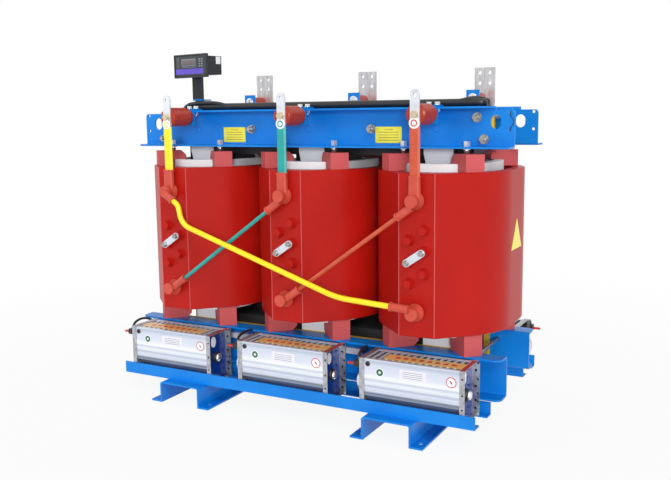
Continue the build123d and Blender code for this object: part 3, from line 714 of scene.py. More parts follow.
class Finishes:
    """Every finish of the transformer, made once and shared by its pieces."""

    LIST: tuple[Finish, ...] = (
        Enamel("frame_enamel", hue("0d86e2"), hue("0b70c8")),
        CastResin("coil_resin", hue("b91910"), hue("a2140c")),
        CastResin("block_resin", hue("cf5e60"), hue("bd5052"), 0.48, 0.0002),
        CastResin("insulator_resin", hue("ac3826"), hue("942a1a"), 0.26, 0.0001, 0.03, 0.22),
        CastResin("inner_coil_resin", hue("f3f4f8"), hue("e0e2e8"), 0.4, 0.0003),
        SheetStack("yoke_steel", Stack.LEVEL),
        SheetStack("leg_steel", Stack.UPRIGHT),
        Enamel("tie_plate_paint", hue("f2f4f9"), hue("e4e7ee"), 0.34, 0.05),
        PressedBoard("pressed_board"),
        PlatedBolt("plated_bolt", hue("a9aaac"), hue("9c927a")),
        PlatedBolt("plated_pale", hue("dfe1e4"), hue("bfc2c6")),
        BoltedBar("tinned_bar", -0.3214, 0.974),
        StreakedBar("tinned_copper"),
        BrushedMetal("link_plate", hue("dfe5ef"), hue("b9c0cc"), Grain.ALONG_X, 0.28, 0.7),
        # fan cover with painted highlights and shade in bands by height
        PaintedLightBandSheet("fan_sheet", FAN_PAINTED_LIGHT_BANDS, 0.100, 0.247),
        BrushedMetal("motor_steel", hue("dddfe2"), hue("a8acb1"), Grain.ALONG_Y, 0.3, 0.7),
        BrushedMetal("impeller_sheet", hue("8f949b"), hue("5c6066"), Grain.ALONG_X, 0.4, 0.9),
        BrushedMetal("dome_steel", hue("e9ebee"), hue("c3c7cc"), Grain.ALONG_Y, 0.18, 0.9),
        Galvanised("galvanised_sheet", hue("cfd0d4"), hue("8c8e94")),
        # painted reflection: the blue of the rail and clamp seen in the galvanised tray end
        Enamel("tray_lining", hue("0b3a94"), hue("0a2a70"), 0.2, 0.4),
        # near black: painted shade inside the punched holes
        Moulding("punched_hole", hue("1c1e22"), hue("101114"), 0.6),
        SoftMoulding("sleeve_yellow", hue("ffe81c"), hue("f6d900"), 0.3),
        SoftMoulding("sleeve_green", hue("0ea49e"), hue("0b8c86"), 0.3),
        SoftMoulding("sleeve_red", hue("cc5232"), hue("bb4427"), 0.3),
        SoftMoulding("boot_rubber", hue("cc4b38"), hue("b83d2c"), 0.4, 0.08),
        SoftMoulding("black_rubber", hue("1b1b1d"), hue("0d0d0e"), 0.45, 0.1),
        SoftMoulding("lead_black", hue("1d1e20"), hue("101012"), 0.38, 0.1),
        SoftMoulding("lead_red", hue("d4281c"), hue("a81b12"), 0.35, 0.2),
        Moulding("case_plastic", hue("2b2e33"), hue("202226"), 0.46),
        Moulding("case_face", hue("32383f"), hue("2b3037"), 0.4),
        Moulding("case_marks", hue("8d959c"), hue("7b838a"), 0.4),
        Moulding("display_window", hue("74696a"), hue("615757"), 0.2),
        Moulding("display_rim", hue("868e95"), hue("7a8289"), 0.3),
        Moulding("violet_band", hue("6a55d0"), hue("5a47ba"), 0.35),
        Moulding("duct_plastic", hue("f3f4f6"), hue("e2e4e8"), 0.4),
        TwoTonePaint("post_paint", hue("0c74d0"), hue("24272c"), 1.0535),
        PrintedField("label_yellow", hue("fff24a"), hue("f8e84a")),
        PrintedField("label_rule", hue("8a8436"), hue("7d772f")),
        PrintedField("label_amber", hue("ecc06a"), hue("deb268")),
        PrintedField("label_white", hue("f8f9fb"), hue("eceef2")),
        PrintedField("label_pale", hue("eceaf4"), hue("dddfe9")),
        PrintedField("label_green", hue("1d6b45"), hue("215c40")),
        PrintedField("label_red", hue("d2353f"), hue("c04650")),
        PrintedField("label_maroon", hue("9a2f33"), hue("7f2a2e")),
    )

    def __init__(self) -> None:
        """Builds every material."""
        self._made = {finish.name: finish.build() for finish in self.LIST}

    def __getitem__(self, name: str) -> bpy.types.Material:
        """The material of that name."""
        return self._made[name]

    def dress_node(self, node: str, *names: str) -> None:
        """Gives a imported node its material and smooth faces.

        Args:
            node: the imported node.
            names: the finish of each of its material slots; one is used for all.
        """
        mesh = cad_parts[node].data
        mesh.materials.clear()
        for name in names:
            mesh.materials.append(self[name])
        mesh.shade_smooth()
        mesh.set_sharp_from_angle(angle=math.radians(32))
        LOG.info("dressed %s with %s", node, ", ".join(names))


# ---------------------------------------------------------------------------
# Mesh making
# ---------------------------------------------------------------------------


class Workshop:
    """Makes the added pieces from outlines, profiles and routes."""

    def __init__(self, finishes: Finishes) -> None:
        """Keeps the finishes that pieces are given."""
        self.finishes = finishes

    def finish_piece(self, piece: bpy.types.Object, finish: str, slot: str,
                     body: str = BODY) -> None:
        """Gives a piece its material and its body.

        Args:
            piece: the new object.
            finish: its finish.
            slot: not used.
            body: the body it moves with.
        """
        piece.data.materials.append(self.finishes[finish])
        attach(piece, body)
        LOG.info("made %s", piece.name)

    @staticmethod
    def from_bmesh(name: str, mesh: bmesh.types.BMesh) -> bpy.types.Object:
        """Turns mesh code into a linked object with smooth faces and sharp edges.

        Args:
            name: the piece's name.
            mesh: the geometry, which is freed.

        Returns:
            The object.
        """
        bmesh.ops.recalc_face_normals(mesh, faces=mesh.faces)
        data = bpy.data.meshes.new(name)
        mesh.to_mesh(data)
        mesh.free()
        data.shade_smooth()
        data.set_sharp_from_angle(angle=math.radians(35))
        piece = bpy.data.objects.new(name, data)
        bpy.context.scene.collection.objects.link(piece)
        return piece

    def keep(self, name: str, mesh: bmesh.types.BMesh, finish: str, slot: str) -> None:
        """Turns finished geometry into a dressed piece.

        Args:
            name: the piece's name.
            mesh: the geometry, which is freed.
            finish: its finish.
            slot: the record's material slot.
        """
        self.finish_piece(self.from_bmesh(name, mesh), finish, slot)

    @staticmethod
    def add_prism(mesh: bmesh.types.BMesh, outline: Sequence[Flat], depth: float,
                  place: Matrix, soften: float = 0.0) -> None:
        """Adds an outline pushed along its own Z.

        Args:
            mesh: the mesh it is added to.
            outline: the closed outline in its own XY plane.
            depth: how far it is pushed.
            place: where it goes.
            soften: the width of the bevel on its front rim.
        """
        low = [mesh.verts.new(place @ Vector((x, y, 0.0))) for x, y in outline]
        high = [mesh.verts.new(place @ Vector((x, y, depth))) for x, y in outline]
        mesh.faces.new(low[::-1])
        top = mesh.faces.new(high)
        count = len(outline)
        for i in range(count):
            j = (i + 1) % count
            mesh.faces.new((low[i], low[j], high[j], high[i]))
        if soften > 0:
            bmesh.ops.bevel(mesh, geom=list(top.edges), offset=soften, segments=2,
                            affect="EDGES", profile=0.5)

    @staticmethod
    def add_lathe(mesh: bmesh.types.BMesh, profile: Sequence[Flat], place: Matrix,
                  steps: int = 32, capped: bool = True) -> None:
        """Adds a profile turned round its own Z.

        Args:
            mesh: the mesh it is added to.
            profile: radius and height pairs, from bottom to top.
            place: where it goes.
            steps: how many steps make the turn.
            capped: whether the first and last rings are closed; a ring with a hole has none.
        """
        rings = []
        for radius, height in profile:
            if radius < 1e-6:
                rings.append([mesh.verts.new(place @ Vector((0.0, 0.0, height)))])
                continue
            ring = []
            for i in range(steps):
                turn = 2 * math.pi * i / steps
                spot = Vector((radius * math.cos(turn), radius * math.sin(turn), height))
                ring.append(mesh.verts.new(place @ spot))
            rings.append(ring)
        for lower, upper in zip(rings, rings[1:]):
            for i in range(steps):
                j = (i + 1) % steps
                if len(lower) == 1 and len(upper) == 1:
                    continue
                if len(lower) == 1:
                    mesh.faces.new((lower[0], upper[j], upper[i]))
                elif len(upper) == 1:
                    mesh.faces.new((lower[i], lower[j], upper[0]))
                else:
                    mesh.faces.new((lower[i], lower[j], upper[j], upper[i]))
        for ring in (rings[0], rings[-1]):
            if capped and len(ring) > 1:
                mesh.faces.new(ring)

    def lead(self, name: str, route: Sequence[Point], radius: float, finish: str = "lead_black",
             slot: str = "harness_black") -> None:
        """Makes a short fixed lead along a smooth line.

        Args:
            name: the piece's name.
            route: the control points.
            radius: half of its thickness.
            finish: its finish.
            slot: the record's material slot.
        """
        curve = bpy.data.curves.new(name, "CURVE")
        curve.dimensions = "3D"
        curve.bevel_depth = radius
        curve.bevel_resolution = 3
        curve.use_fill_caps = True
        spline = curve.splines.new("NURBS")
        spline.points.add(len(route) - 1)
        for spot, where in zip(spline.points, route):
            spot.co = (*where, 1.0)
        spline.order_u = 3
        spline.use_endpoint_u = True
        spline.resolution_u = 8
        piece = bpy.data.objects.new(name, curve)
        bpy.context.scene.collection.objects.link(piece)
        self.finish_piece(piece, finish, slot)


def ribbed_hose(mesh: bmesh.types.BMesh, start: Point, end: Point, rise: float, radius: float,
                ribs: int) -> None:
    """Adds a ribbed conduit that humps from one point to another.

    Args:
        mesh: the mesh it is added to.
        start: its first end.
        end: its other end.
        rise: how far its middle stands above its ends.
        radius: its mean radius.
        ribs: how many ribs it has.
    """
    steps, corners, depth = ribs * 4, 14, 0.16
    first, last = Vector(start), Vector(end)
    side = (last - first).cross(Vector((0.0, 0.0, 1.0))).normalized()
    rings = []
    for i in range(steps + 1):
        share = i / steps
        centre = first.lerp(last, share) + Vector((0.0, 0.0, rise * math.sin(math.pi * share) ** 0.6))
        wide = radius * (1.0 + depth * math.sin(2 * math.pi * ribs * share))
        ring = []
        for k in range(corners):
            turn = 2 * math.pi * k / corners
            ring.append(mesh.verts.new(centre + side * (wide * math.cos(turn))
                                       + Vector((0.0, 0.0, wide * math.sin(turn)))))
        rings.append(ring)
    for lower, upper in zip(rings, rings[1:]):
        for k in range(corners):
            j = (k + 1) % corners
            mesh.faces.new((lower[k], lower[j], upper[j], upper[k]))
    mesh.faces.new(rings[0])
    mesh.faces.new(rings[-1])


def rounded(width: float, height: float, radius: float, steps: int = 5) -> list[Flat]:
    """A rectangle with round corners, about its own middle.

    Args:
        width: its size along X.
        height: its size along Y.
        radius: the corner radius.
        steps: points in each corner.

    Returns:
        The outline.
    """
    outline = []
    for corner, (sx, sy) in enumerate(((1, 1), (-1, 1), (-1, -1), (1, -1))):
        for i in range(steps + 1):
            turn = math.radians(90 * corner + 90 * i / steps)
            outline.append((sx * (width / 2 - radius) + radius * math.cos(turn),
                            sy * (height / 2 - radius) + radius * math.sin(turn)))
    return outline


def disc(radius: float, steps: int = 28) -> list[Flat]:
    """The outline of a round plate.

    Args:
        radius: its radius.
        steps: its corners.

    Returns:
        The outline.
    """
    return [(radius * math.cos(2 * math.pi * i / steps), radius * math.sin(2 * math.pi * i / steps))
            for i in range(steps)]


def facing(where: Point, side: int = -1) -> Matrix:
    """A place whose own Z points out of the front or the rear.

    Args:
        where: the point.
        side: -1 for the front, 1 for the rear.

    Returns:
        The placement.
    """
    turn = Matrix.Rotation(math.radians(90 if side < 0 else -90), 4, "X")
    flip = Matrix.Rotation(math.radians(180), 4, "Z") if side > 0 else Matrix.Identity(4)
    return Matrix.Translation(where) @ turn @ flip


def upward(where: Point, roll: float = 0.0) -> Matrix:
    """A place whose own Z points up.

    Args:
        where: the point.
        roll: a turn about the vertical, in degrees.

    Returns:
        The placement.
    """
    return Matrix.Translation(where) @ Matrix.Rotation(math.radians(roll), 4, "Z")


def endward(where: Point, side: int = 1) -> Matrix:
    """A place whose own Z points along X and whose own Y points up.

    Args:
        where: the point.
        side: 1 for +X, -1 for -X.

    Returns:
        The placement.
    """
    base = Matrix(((0, 0, 1, 0), (1, 0, 0, 0), (0, 1, 0, 0), (0, 0, 0, 1)))
    flip = Matrix.Rotation(math.pi, 4, "Z") if side < 0 else Matrix.Identity(4)
    return Matrix.Translation(where) @ flip @ base


# ---------------------------------------------------------------------------
# Sub-assemblies
# ---------------------------------------------------------------------------


@dataclass
class Layout:
    """Sizes that several sub-assemblies share."""

    pitch: float = 0.455
    names: tuple[str, str, str] = ("a", "b", "c")

    @property
    def phases(self) -> list[tuple[str, float]]:
        """Each phase's name and its place along the row."""
        return [(name, (i - 1) * self.pitch) for i, name in enumerate(self.names)]


@dataclass
class Core:
    """The stacked steel core with its tie plates and insulation boards."""

    shop: Workshop
    layout: Layout
    rear_board_half: float = 0.560
    middle_z: float = 0.6

    def build(self) -> None:
        """Dresses the core's nodes and shortens the upper rear board to the yoke."""
        dress = self.shop.finishes.dress_node
        for node in ("core_yoke_top", "core_yoke_bottom"):
            dress(node, "yoke_steel")
        for name, _ in self.layout.phases:
            dress("core_leg_" + name, "leg_steel")
        dress("leg_tie_plates", "tie_plate_paint")
        self.boards()

    def boards(self) -> None:
        """Makes the insulation boards again, the upper rear one only as long as the yoke."""
        mesh = bmesh.new()
        mesh.from_mesh(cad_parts["insulation_boards"].data)
        for side in (-1, 1):
            board = [v for v in mesh.verts if v.co.y > 0 and v.co.z > self.middle_z]
            faces = list({face for v in board for face in v.link_faces})
            edges = list({edge for v in board for edge in v.link_edges})
            cut = bmesh.ops.bisect_plane(
                mesh, geom=board + edges + faces, plane_co=(side * self.rear_board_half, 0.0, 0.0),
                plane_no=(side, 0.0, 0.0), clear_outer=True)
            rim = [e for e in cut["geom_cut"] if isinstance(e, bmesh.types.BMEdge)]
            bmesh.ops.holes_fill(mesh, edges=rim)
        piece = self.shop.from_bmesh("board_set", mesh)
        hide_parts("insulation_boards")
        self.shop.finish_piece(piece, "pressed_board", "board_yellow")


@dataclass
class Windings:
    """The cast coils and the blocks that hold them."""

    shop: Workshop
    layout: Layout
    panel_y: float = -0.304
    panel_half: float = 0.0575
    low: float = 0.3205
    high: float = 0.8145
    bead: float = 0.0016
    splay: float = 22.5
    flat_x: float = 0.218
    marker_z: float = 0.5945
    marker_radius: float = 0.064

    def build(self) -> None:
        """Dresses the coils and adds the lighter beads beside their panels, a painted highlight on the panel
        edges.
        """
        dress = self.shop.finishes.dress_node
        for name, x in self.layout.phases:
            dress("hv_coil_" + name, "coil_resin")
            dress("lv_coil_" + name, "inner_coil_resin")
            self.edge_highlight_beads(name, x)
        dress("support_blocks_top", "block_resin")
        dress("support_blocks_bottom", "block_resin")
        self.corner_marker()

    def edge_highlight_beads(self, name: str, x: float) -> None:
        """Adds fine raised lines beside the front panel, in the lighter block resin as a painted highlight on
        its edges.

        Args:
            name: the phase.
            x: its place along the row.
        """
        mesh = bmesh.new()
        for side in (-1, 1):
            place = upward((x + side * self.panel_half, self.panel_y + 0.0004, self.low), self.splay * side)
            self.shop.add_prism(mesh, disc(self.bead, 10), self.high - self.low, place)
        # lighter block resin: painted highlight along the panel edges
        self.shop.keep("edge_highlight_bead_" + name, mesh, "block_resin", "hv_resin")

    def corner_marker(self) -> None:
        """Adds the plain yellow triangle on the flat outer side of the last coil."""
        mesh = bmesh.new()
        x = self.layout.phases[2][1] + self.flat_x - 0.0002
        corners = [math.radians(turn) for turn in (90, 210, 330)]
        size = self.marker_radius
        outline = [(size * math.cos(turn), size * math.sin(turn)) for turn in corners]
        self.shop.add_prism(mesh, outline, 0.0012, endward((x, 0.0, self.marker_z)))
        self.shop.keep("corner_marker", mesh, "label_yellow", "sleeve_yellow")


@dataclass
class Frame:
    """The blue clamps, feet and risers, with their bolts and small plates."""

    shop: Workshop
    layout: Layout
    web_y: float = 0.138
    label_z: tuple[float, float] = (0.899, 0.951)
    labels: tuple[tuple[float, float], ...] = ((-0.349, -0.258), (0.244, 0.336))
    plate_thick: float = 0.0012
    rule_pitch: float = 0.0085
    mark_z: float = 0.944
    eye_x: float = 0.685

    def build(self) -> None:
        """Dresses the frame and adds its small pieces."""
        dress = self.shop.finishes.dress_node
        for node in ("upper_clamp_front", "upper_clamp_rear", "lower_clamp_front",
                     "lower_clamp_rear", "foot_left", "foot_right", "clamp_risers", "fan_rails"):
            dress(node, "frame_enamel")
        dress("cross_studs", "plated_bolt")
        dress("pressure_bolts", "plated_pale")
        self.plates()
        self.blind_studs()
        self.tie_wire()

    def plates(self) -> None:
        """Adds the two plain yellow plates on the front clamp, each with a few dark rules."""
        low, high = self.label_z
        for index, (left, right) in enumerate(self.labels):
            middle = (left + right) / 2
            plate = bmesh.new()
            place = facing((middle, -self.web_y, (low + high) / 2))
            outline = rounded(right - left, high - low, 0.002)
            self.shop.add_prism(plate, outline, self.plate_thick, place, 0.0003)
            self.shop.keep(f"data_plate_{index}", plate, "label_yellow", "sleeve_yellow")
            rules = bmesh.new()
            for row in range(5):
                inset = 0.030 if row == 0 else 0.010
                rule = rounded(right - left - 2 * inset, 0.0018, 0.0004, 2)
                where = (middle, -self.web_y - self.plate_thick, high - 0.009 - row * self.rule_pitch)
                self.shop.add_prism(rules, rule, 0.0002, facing(where))
            self.shop.keep(f"data_plate_rules_{index}", rules, "label_rule", "sleeve_yellow")

    def blind_studs(self) -> None:
        """Adds the painted-over stud marks in line with each leg."""
        for side, label in ((-1, "front"), (1, "rear")):
            mesh = bmesh.new()
            for _, x in self.layout.phases:
                place = facing((x - 0.004, side * self.web_y, self.mark_z), side)
                self.shop.add_lathe(mesh, [(0.012, -0.001), (0.012, 0.0012), (0.0105, 0.0018),
                                           (0.0095, 0.0006), (0.0, 0.0006)], place)
            self.shop.keep("painted_mark_" + label, mesh, "frame_enamel", "clamp_blue")

    def tie_wire(self) -> None:
        """Adds the dark wire through the two small end holes of the front clamp."""
        x, y = self.eye_x, -self.web_y - 0.003
        route = [(x, y + 0.008, 0.994), (x + 0.001, y - 0.001, 0.991), (x + 0.005, y - 0.002, 0.980),
                 (x + 0.013, y, 0.969), (x + 0.0135, y, 0.962), (x + 0.006, y - 0.001, 0.950),
                 (x + 0.001, y - 0.001, 0.941), (x, y + 0.008, 0.938)]
        self.shop.lead("tie_wire", route, 0.0013)


@dataclass
class HighVoltageSide:
    """Post insulators, terminal bars, sleeves, boots, delta links and taps."""

    shop: Workshop
    layout: Layout
    sleeves: tuple[str, str, str] = ("sleeve_yellow", "sleeve_green", "sleeve_red")
    eye_z: float = 0.964
    lug_out: float = 0.010
    bracket_top: float = 1.017
    bracket_y: float = -0.174
    bolt_half: float = 0.014
    nut_drop: float = 0.0205

    def build(self) -> None:
        """Dresses the high-voltage nodes and adds the eyelets."""
        dress = self.shop.finishes.dress_node
        dress("insulator_brackets", "frame_enamel")
        for (name, x), sleeve in zip(self.layout.phases, self.sleeves):
            dress("post_insulator_" + name, "insulator_resin")
            dress("hv_terminal_" + name, "tinned_bar")
            dress("hv_lead_" + name, sleeve)
            dress("delta_link_" + name, sleeve)
            self.eyelet(name, x, sleeve)
            self.bracket_bolts(name, x)
        dress("lead_boots", "boot_rubber")
        dress("tap_links", "link_plate")
        dress("tap_bolts", "plated_bolt")

    def bracket_bolts(self, name: str, x: float) -> None:
        """Adds the zinc bolts that hold an insulator bracket, with the nut under the flange.

        Args:
            name: the phase.
            x: its place along the row.
        """
        mesh = bmesh.new()
        for offset in (-self.bolt_half, self.bolt_half):
            head, nut, tail = (upward((x + offset, self.bracket_y, self.bracket_top - drop))
                               for drop in (0.0, self.nut_drop, self.nut_drop + 0.005))
            self.shop.add_lathe(mesh, [(0.0105, 0.0), (0.0105, 0.0016)], head, 24)
            self.shop.add_prism(mesh, disc(0.0088, 6), 0.0096, head, 0.0006)
            self.shop.add_prism(mesh, disc(0.0085, 6), 0.0085, nut)
            self.shop.add_prism(mesh, disc(0.004, 12), 0.006, tail)
        self.shop.keep("bracket_bolts_" + name, mesh, "plated_pale", "bolt_zinc")

    def eyelet(self, name: str, x: float, sleeve: str) -> None:
        """Adds the round lug at the foot of a terminal bar, with its coloured ring.

        Args:
            name: the phase.
            x: its place along the row.
            sleeve: the finish of the ring.
        """
        box_low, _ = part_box("hv_terminal_" + name)
        front = box_low.y + self.lug_out
        mesh = bmesh.new()
        place = facing((x, front, self.eye_z))
        self.shop.add_lathe(mesh, [(0.0, -0.001), (0.0165, -0.001), (0.0165, 0.0022), (0.0155, 0.0028),
                                   (0.0, 0.0028)], place)
        self.shop.keep("terminal_lug_" + name, mesh, "label_white", "terminal_tin")
        ring = bmesh.new()
        self.shop.add_lathe(ring, [(0.0068, 0.0026), (0.0104, 0.0026), (0.0104, 0.0036), (0.0068, 0.0036),
                                   (0.0068, 0.0026)], place, 28, False)
        self.shop.keep("terminal_ring_" + name, ring, sleeve, sleeve)


@dataclass
class LowVoltageSide:
    """The rear bars with their posts and lugs."""

    shop: Workshop
    layout: Layout
    lug_y: float = 0.184
    post_z: float = 1.043
    post_shift: float = 0.005
    bar_shift: float = 0.019
    bar_y: float = 0.270
    bar_top: float = 1.148
    hole_pitch: float = 0.036

    def build(self) -> None:
        """Dresses the low-voltage nodes and adds their bolts."""
        dress = self.shop.finishes.dress_node
        for name, x in self.layout.phases:
            dress("lv_terminal_" + name, "tinned_copper")
            self.post_bolt(name, x)
            self.hole_shade_rims(name, x)
        dress("lv_supports", "insulator_resin")
        dress("lv_brackets", "frame_enamel")

    def post_bolt(self, name: str, x: float) -> None:
        """Adds the washer and bolt that hold a low-voltage post to its lug.

        Args:
            name: the phase.
            x: its place along the row.
        """
        mesh = bmesh.new()
        place = facing((x + self.post_shift, self.lug_y, self.post_z))
        washer = [(0.0155, -0.001), (0.0155, 0.0016), (0.0145, 0.0022), (0.009, 0.0022)]
        self.shop.add_lathe(mesh, washer, place)
        self.shop.add_prism(mesh, disc(0.0104, 6), 0.0095, place, 0.0008)
        self.shop.keep("post_bolt_" + name, mesh, "plated_pale", "bolt_zinc")

    def hole_shade_rims(self, name: str, x: float) -> None:
        """Adds rims round the four holes of a bar, as painted shade on the hole edges.

        Args:
            name: the phase.
            x: its place along the row.
        """
        mesh = bmesh.new()
        half = self.hole_pitch / 2
        for across in (-half, half):
            for drop in (half, half + self.hole_pitch):
                place = facing((x + self.bar_shift + across, self.bar_y, self.bar_top - drop))
                # painted shade on the edge of each hole
                self.shop.add_lathe(mesh, [(0.0067, 0.0), (0.0086, 0.0), (0.0082, 0.0005), (0.0067, 0.0005),
                                           (0.0067, 0.0)], place, 24, False)
        self.shop.keep("hole_shade_rims_" + name, mesh, "motor_steel", "terminal_tin")


@dataclass
class Blower:
    """One crossflow fan: its added plates, fields of colour and fittings."""

    shop: Workshop
    name: str
    x: float
    side: int
    amber_shift: float = 0.0
    tray: float = 0.157
    face_y: float = 0.347
    axis: Flat = (0.300, 0.160)
    top_z: float = 0.245
    foot_z: float = 0.080
    # On the face: distance along the row and height.
    dot: Flat = (-0.1025, 0.2066)
    panel: Flat = (0.006, 0.2095)
    ring: Flat = (0.1285, 0.2072)
    plug: Flat = (-0.143, 0.2295)
    # At the ends: distance out from the core and height.
    oval: Flat = (0.312, 0.2165)
    socket: Flat = (0.333, 0.2235)
    # where the plate with the painted blue reflection stands
    reflection_plate_y: float = 0.294
    upright_y: float = 0.241
    hole_heights: tuple[float, ...] = (0.222, 0.172, 0.128, 0.103)

    def along(self, x: float) -> float:
        """A place along the row, which turns round with the rear fans.

        Args:
            x: the distance from the fan's middle, towards its bearing end.

        Returns:
            The place in the frame.
        """
        return self.x - self.side * x

    def at(self, x: float, z: float) -> Matrix:
        """A place on the front face of the cover, pointing outwards."""
        return facing((self.along(x), self.side * self.face_y, z), self.side)

    def build(self) -> None:
        """Adds every small piece of the fan."""
        self.fields()
        self.grommet()
        self.top_strips()
        self.bearing_end()
        self.hole_rows()
        self.connector()

    def _plate(self, label: str, outline: Sequence[Flat], place: Matrix, finish: str, slot: str,
               thick: float = 0.0008) -> None:
        """Adds one thin plain field.

        Args:
            label: the end of its name.
            outline: its outline.
            place: where it lies.
            finish: its finish.
            slot: the record's material slot.
            thick: its thickness.
        """
        mesh = bmesh.new()
        self.shop.add_prism(mesh, outline, thick, place)
        self._keep(label, mesh, finish, slot)

    def _keep(self, label: str, mesh: bmesh.types.BMesh, finish: str, slot: str) -> None:
        """Turns finished geometry into a piece of this fan.

        Args:
            label: the end of its name.
            mesh: the geometry.
            finish: its finish.
            slot: the record's material slot.
        """
        self.shop.keep(f"fan_{self.name}_{label}", mesh, finish, slot)

    def fields(self) -> None:
        """Adds the plain coloured fields on the face."""
        dot, panel, ring = (self.at(*where) for where in (self.dot, self.panel, self.ring))
        self._plate("dot_rim", disc(0.0135), dot, "label_white", "duct_white", 0.0006)
        self._plate("dot", disc(0.0112), dot, "label_green", "sleeve_green")
        self._plate("dot_core", disc(0.0042), dot, "label_white", "duct_white", 0.0010)
        self._plate("panel", rounded(0.086, 0.032, 0.002), panel, "label_pale", "duct_white", 0.0006)
        rules = bmesh.new()
        for row in range(4):
            place = self.at(self.panel[0], self.panel[1] + 0.009 - row * 0.006)
            self.shop.add_prism(rules, rounded(0.066, 0.0014, 0.0004, 2), 0.0008, place)
        self._keep("panel_rules", rules, "case_marks", "duct_white")
        self._plate("ring", disc(0.0165), ring, "label_red", "sleeve_red", 0.0005)
        self._plate("ring_inner", disc(0.0138), ring, "label_white", "duct_white", 0.0007)
        bar = rounded(0.004, 0.012, 0.0019, 4)
        tilted = ring @ Matrix.Rotation(math.radians(-40 * self.side), 4, "Z")
        self._plate("ring_core", bar, tilted, "label_maroon", "sleeve_red", 0.0010)

    def grommet(self) -> None:
        """Adds the black rubber plug at the top corner of the face."""
        mesh = bmesh.new()
        profile = [(0.0078, 0.0), (0.0078, 0.002), (0.006, 0.0035), (0.003, 0.0035), (0.003, 0.001),
                   (0.0, 0.001)]
        self.shop.add_lathe(mesh, profile, self.at(*self.plug))
        self._keep("grommet", mesh, "black_rubber", "fan_bearing_rubber")

    def top_strips(self) -> None:
        """Adds the amber field with its red marks on the grille, and the maroon edge strip."""
        middle = 0.018 + self.amber_shift
        y = self.side * self.axis[0]
        amber = upward((self.along(middle), y, self.top_z))
        self._plate("amber", rounded(0.262, 0.052, 0.002), amber, "label_amber", "board_yellow")
        marks = bmesh.new()
        for index in range(8):
            where = (self.along(middle + (index - 3.5) * 0.026), y, self.top_z + 0.0008)
            turn = 10 * (index % 3)
            self.shop.add_prism(marks, rounded(0.015, 0.017, 0.004, 3), 0.0003, upward(where, turn))
        self._keep("amber_marks", marks, "label_red", "sleeve_red")
        edge = upward((self.along(0.163), self.side * 0.291, self.top_z + 0.002))
        self._plate("maroon", rounded(0.013, 0.108, 0.001), edge, "label_maroon", "sleeve_red")

    def end_place(self, along: float, out: float, z: float) -> Matrix:
        """A place on the bearing end, pointing along the row and away from the fan.

        Args:
            along: the distance from the fan's middle.
            out: the distance from the core's middle.
            z: the height.

        Returns:
            The placement.
        """
        return endward((self.along(along), self.side * out, z), -self.side)

    def bearing_end(self) -> None:
        """Adds the dark blue plate painted as the reflection of the blue rail and clamp inside the tray end,
        the inner upright, the oval field and the bearing cap.
        """
        height = self.top_z - self.foot_z
        middle = (self.top_z + self.foot_z) / 2
        # painted reflection of the blue rail and clamp in the galvanised tray end
        lining = self.end_place(self.tray, self.reflection_plate_y, middle)
        self._plate("lining", rounded(0.104, height, 0.004), lining, "tray_lining", "clamp_blue")
        upright = bmesh.new()
        spot = self.end_place(self.tray, self.upright_y, middle)
        self.shop.add_prism(upright, rounded(0.0024, height, 0.0008, 2), 0.024, spot)
        self._keep("upright", upright, "galvanised_sheet", "fan_galvanised")
        turns = [math.radians(step) for step in range(0, 360, 12)]
        oval = [(0.014 * math.cos(turn), 0.019 * math.sin(turn)) for turn in turns]
        self._plate("oval", oval, self.end_place(self.tray + 0.0008, *self.oval), "label_white", "duct_white")
        seat = self.end_place(self.tray, *self.axis)
        mesh = bmesh.new()
        self.shop.add_lathe(mesh, [(0.020, 0.0), (0.020, 0.004), (0.0175, 0.009), (0.0145, 0.009),
                                   (0.0145, 0.004), (0.0145, 0.0)], seat)
        self._keep("bearing_seat", mesh, "black_rubber", "fan_bearing_rubber")
        cap = bmesh.new()
        self.shop.add_lathe(cap, [(0.0145, 0.0104), (0.0145, 0.0125), (0.013, 0.0165), (0.0095, 0.0195),
                                  (0.005, 0.021), (0.0, 0.0215)], seat)
        self._keep("bearing_cap", cap, "dome_steel", "fan_galvanised")

    def hole_rows(self) -> None:
        """Adds dark discs as painted shade in the punched holes down the tray's front edge and its inner
        upright.
        """
        mesh = bmesh.new()
        inner_y = self.upright_y + 0.0012
        for z in self.hole_heights:
            for radius, along, out, height in ((0.0031, 0.1635, 0.350, z), (0.0042, 0.169, inner_y, z),
                                               (0.0034, 0.176, inner_y, z + 0.022)):
                place = facing((self.along(along), self.side * out, height), self.side)
                self.shop.add_lathe(mesh, [(radius, -0.0005), (radius, 0.0002)], place, 14)
        # dark discs: painted shade inside the holes
        self._keep("holes", mesh, "punched_hole", "fan_galvanised")

    def connector(self) -> None:
        """Adds the black connector at the motor end, with its red end cap."""
        out, z = self.socket
        place = endward((self.along(-self.tray), self.side * out, z), self.side)
        body = bmesh.new()
        self.shop.add_prism(body, rounded(0.026, 0.020, 0.003), 0.036, place, 0.002)
        self._keep("connector", body, "black_rubber", "fan_bearing_rubber")
        tip = bmesh.new()
        profile = [(0.0050, 0.035), (0.0050, 0.042), (0.0043, 0.044), (0.0043, 0.058), (0.0028, 0.062),
                   (0.0, 0.0625)]
        self.shop.add_lathe(tip, profile, place @ Matrix.Translation((0.0, -0.003, 0.0)), 18)
        self._keep("connector_cap", tip, "lead_red", "sleeve_red")


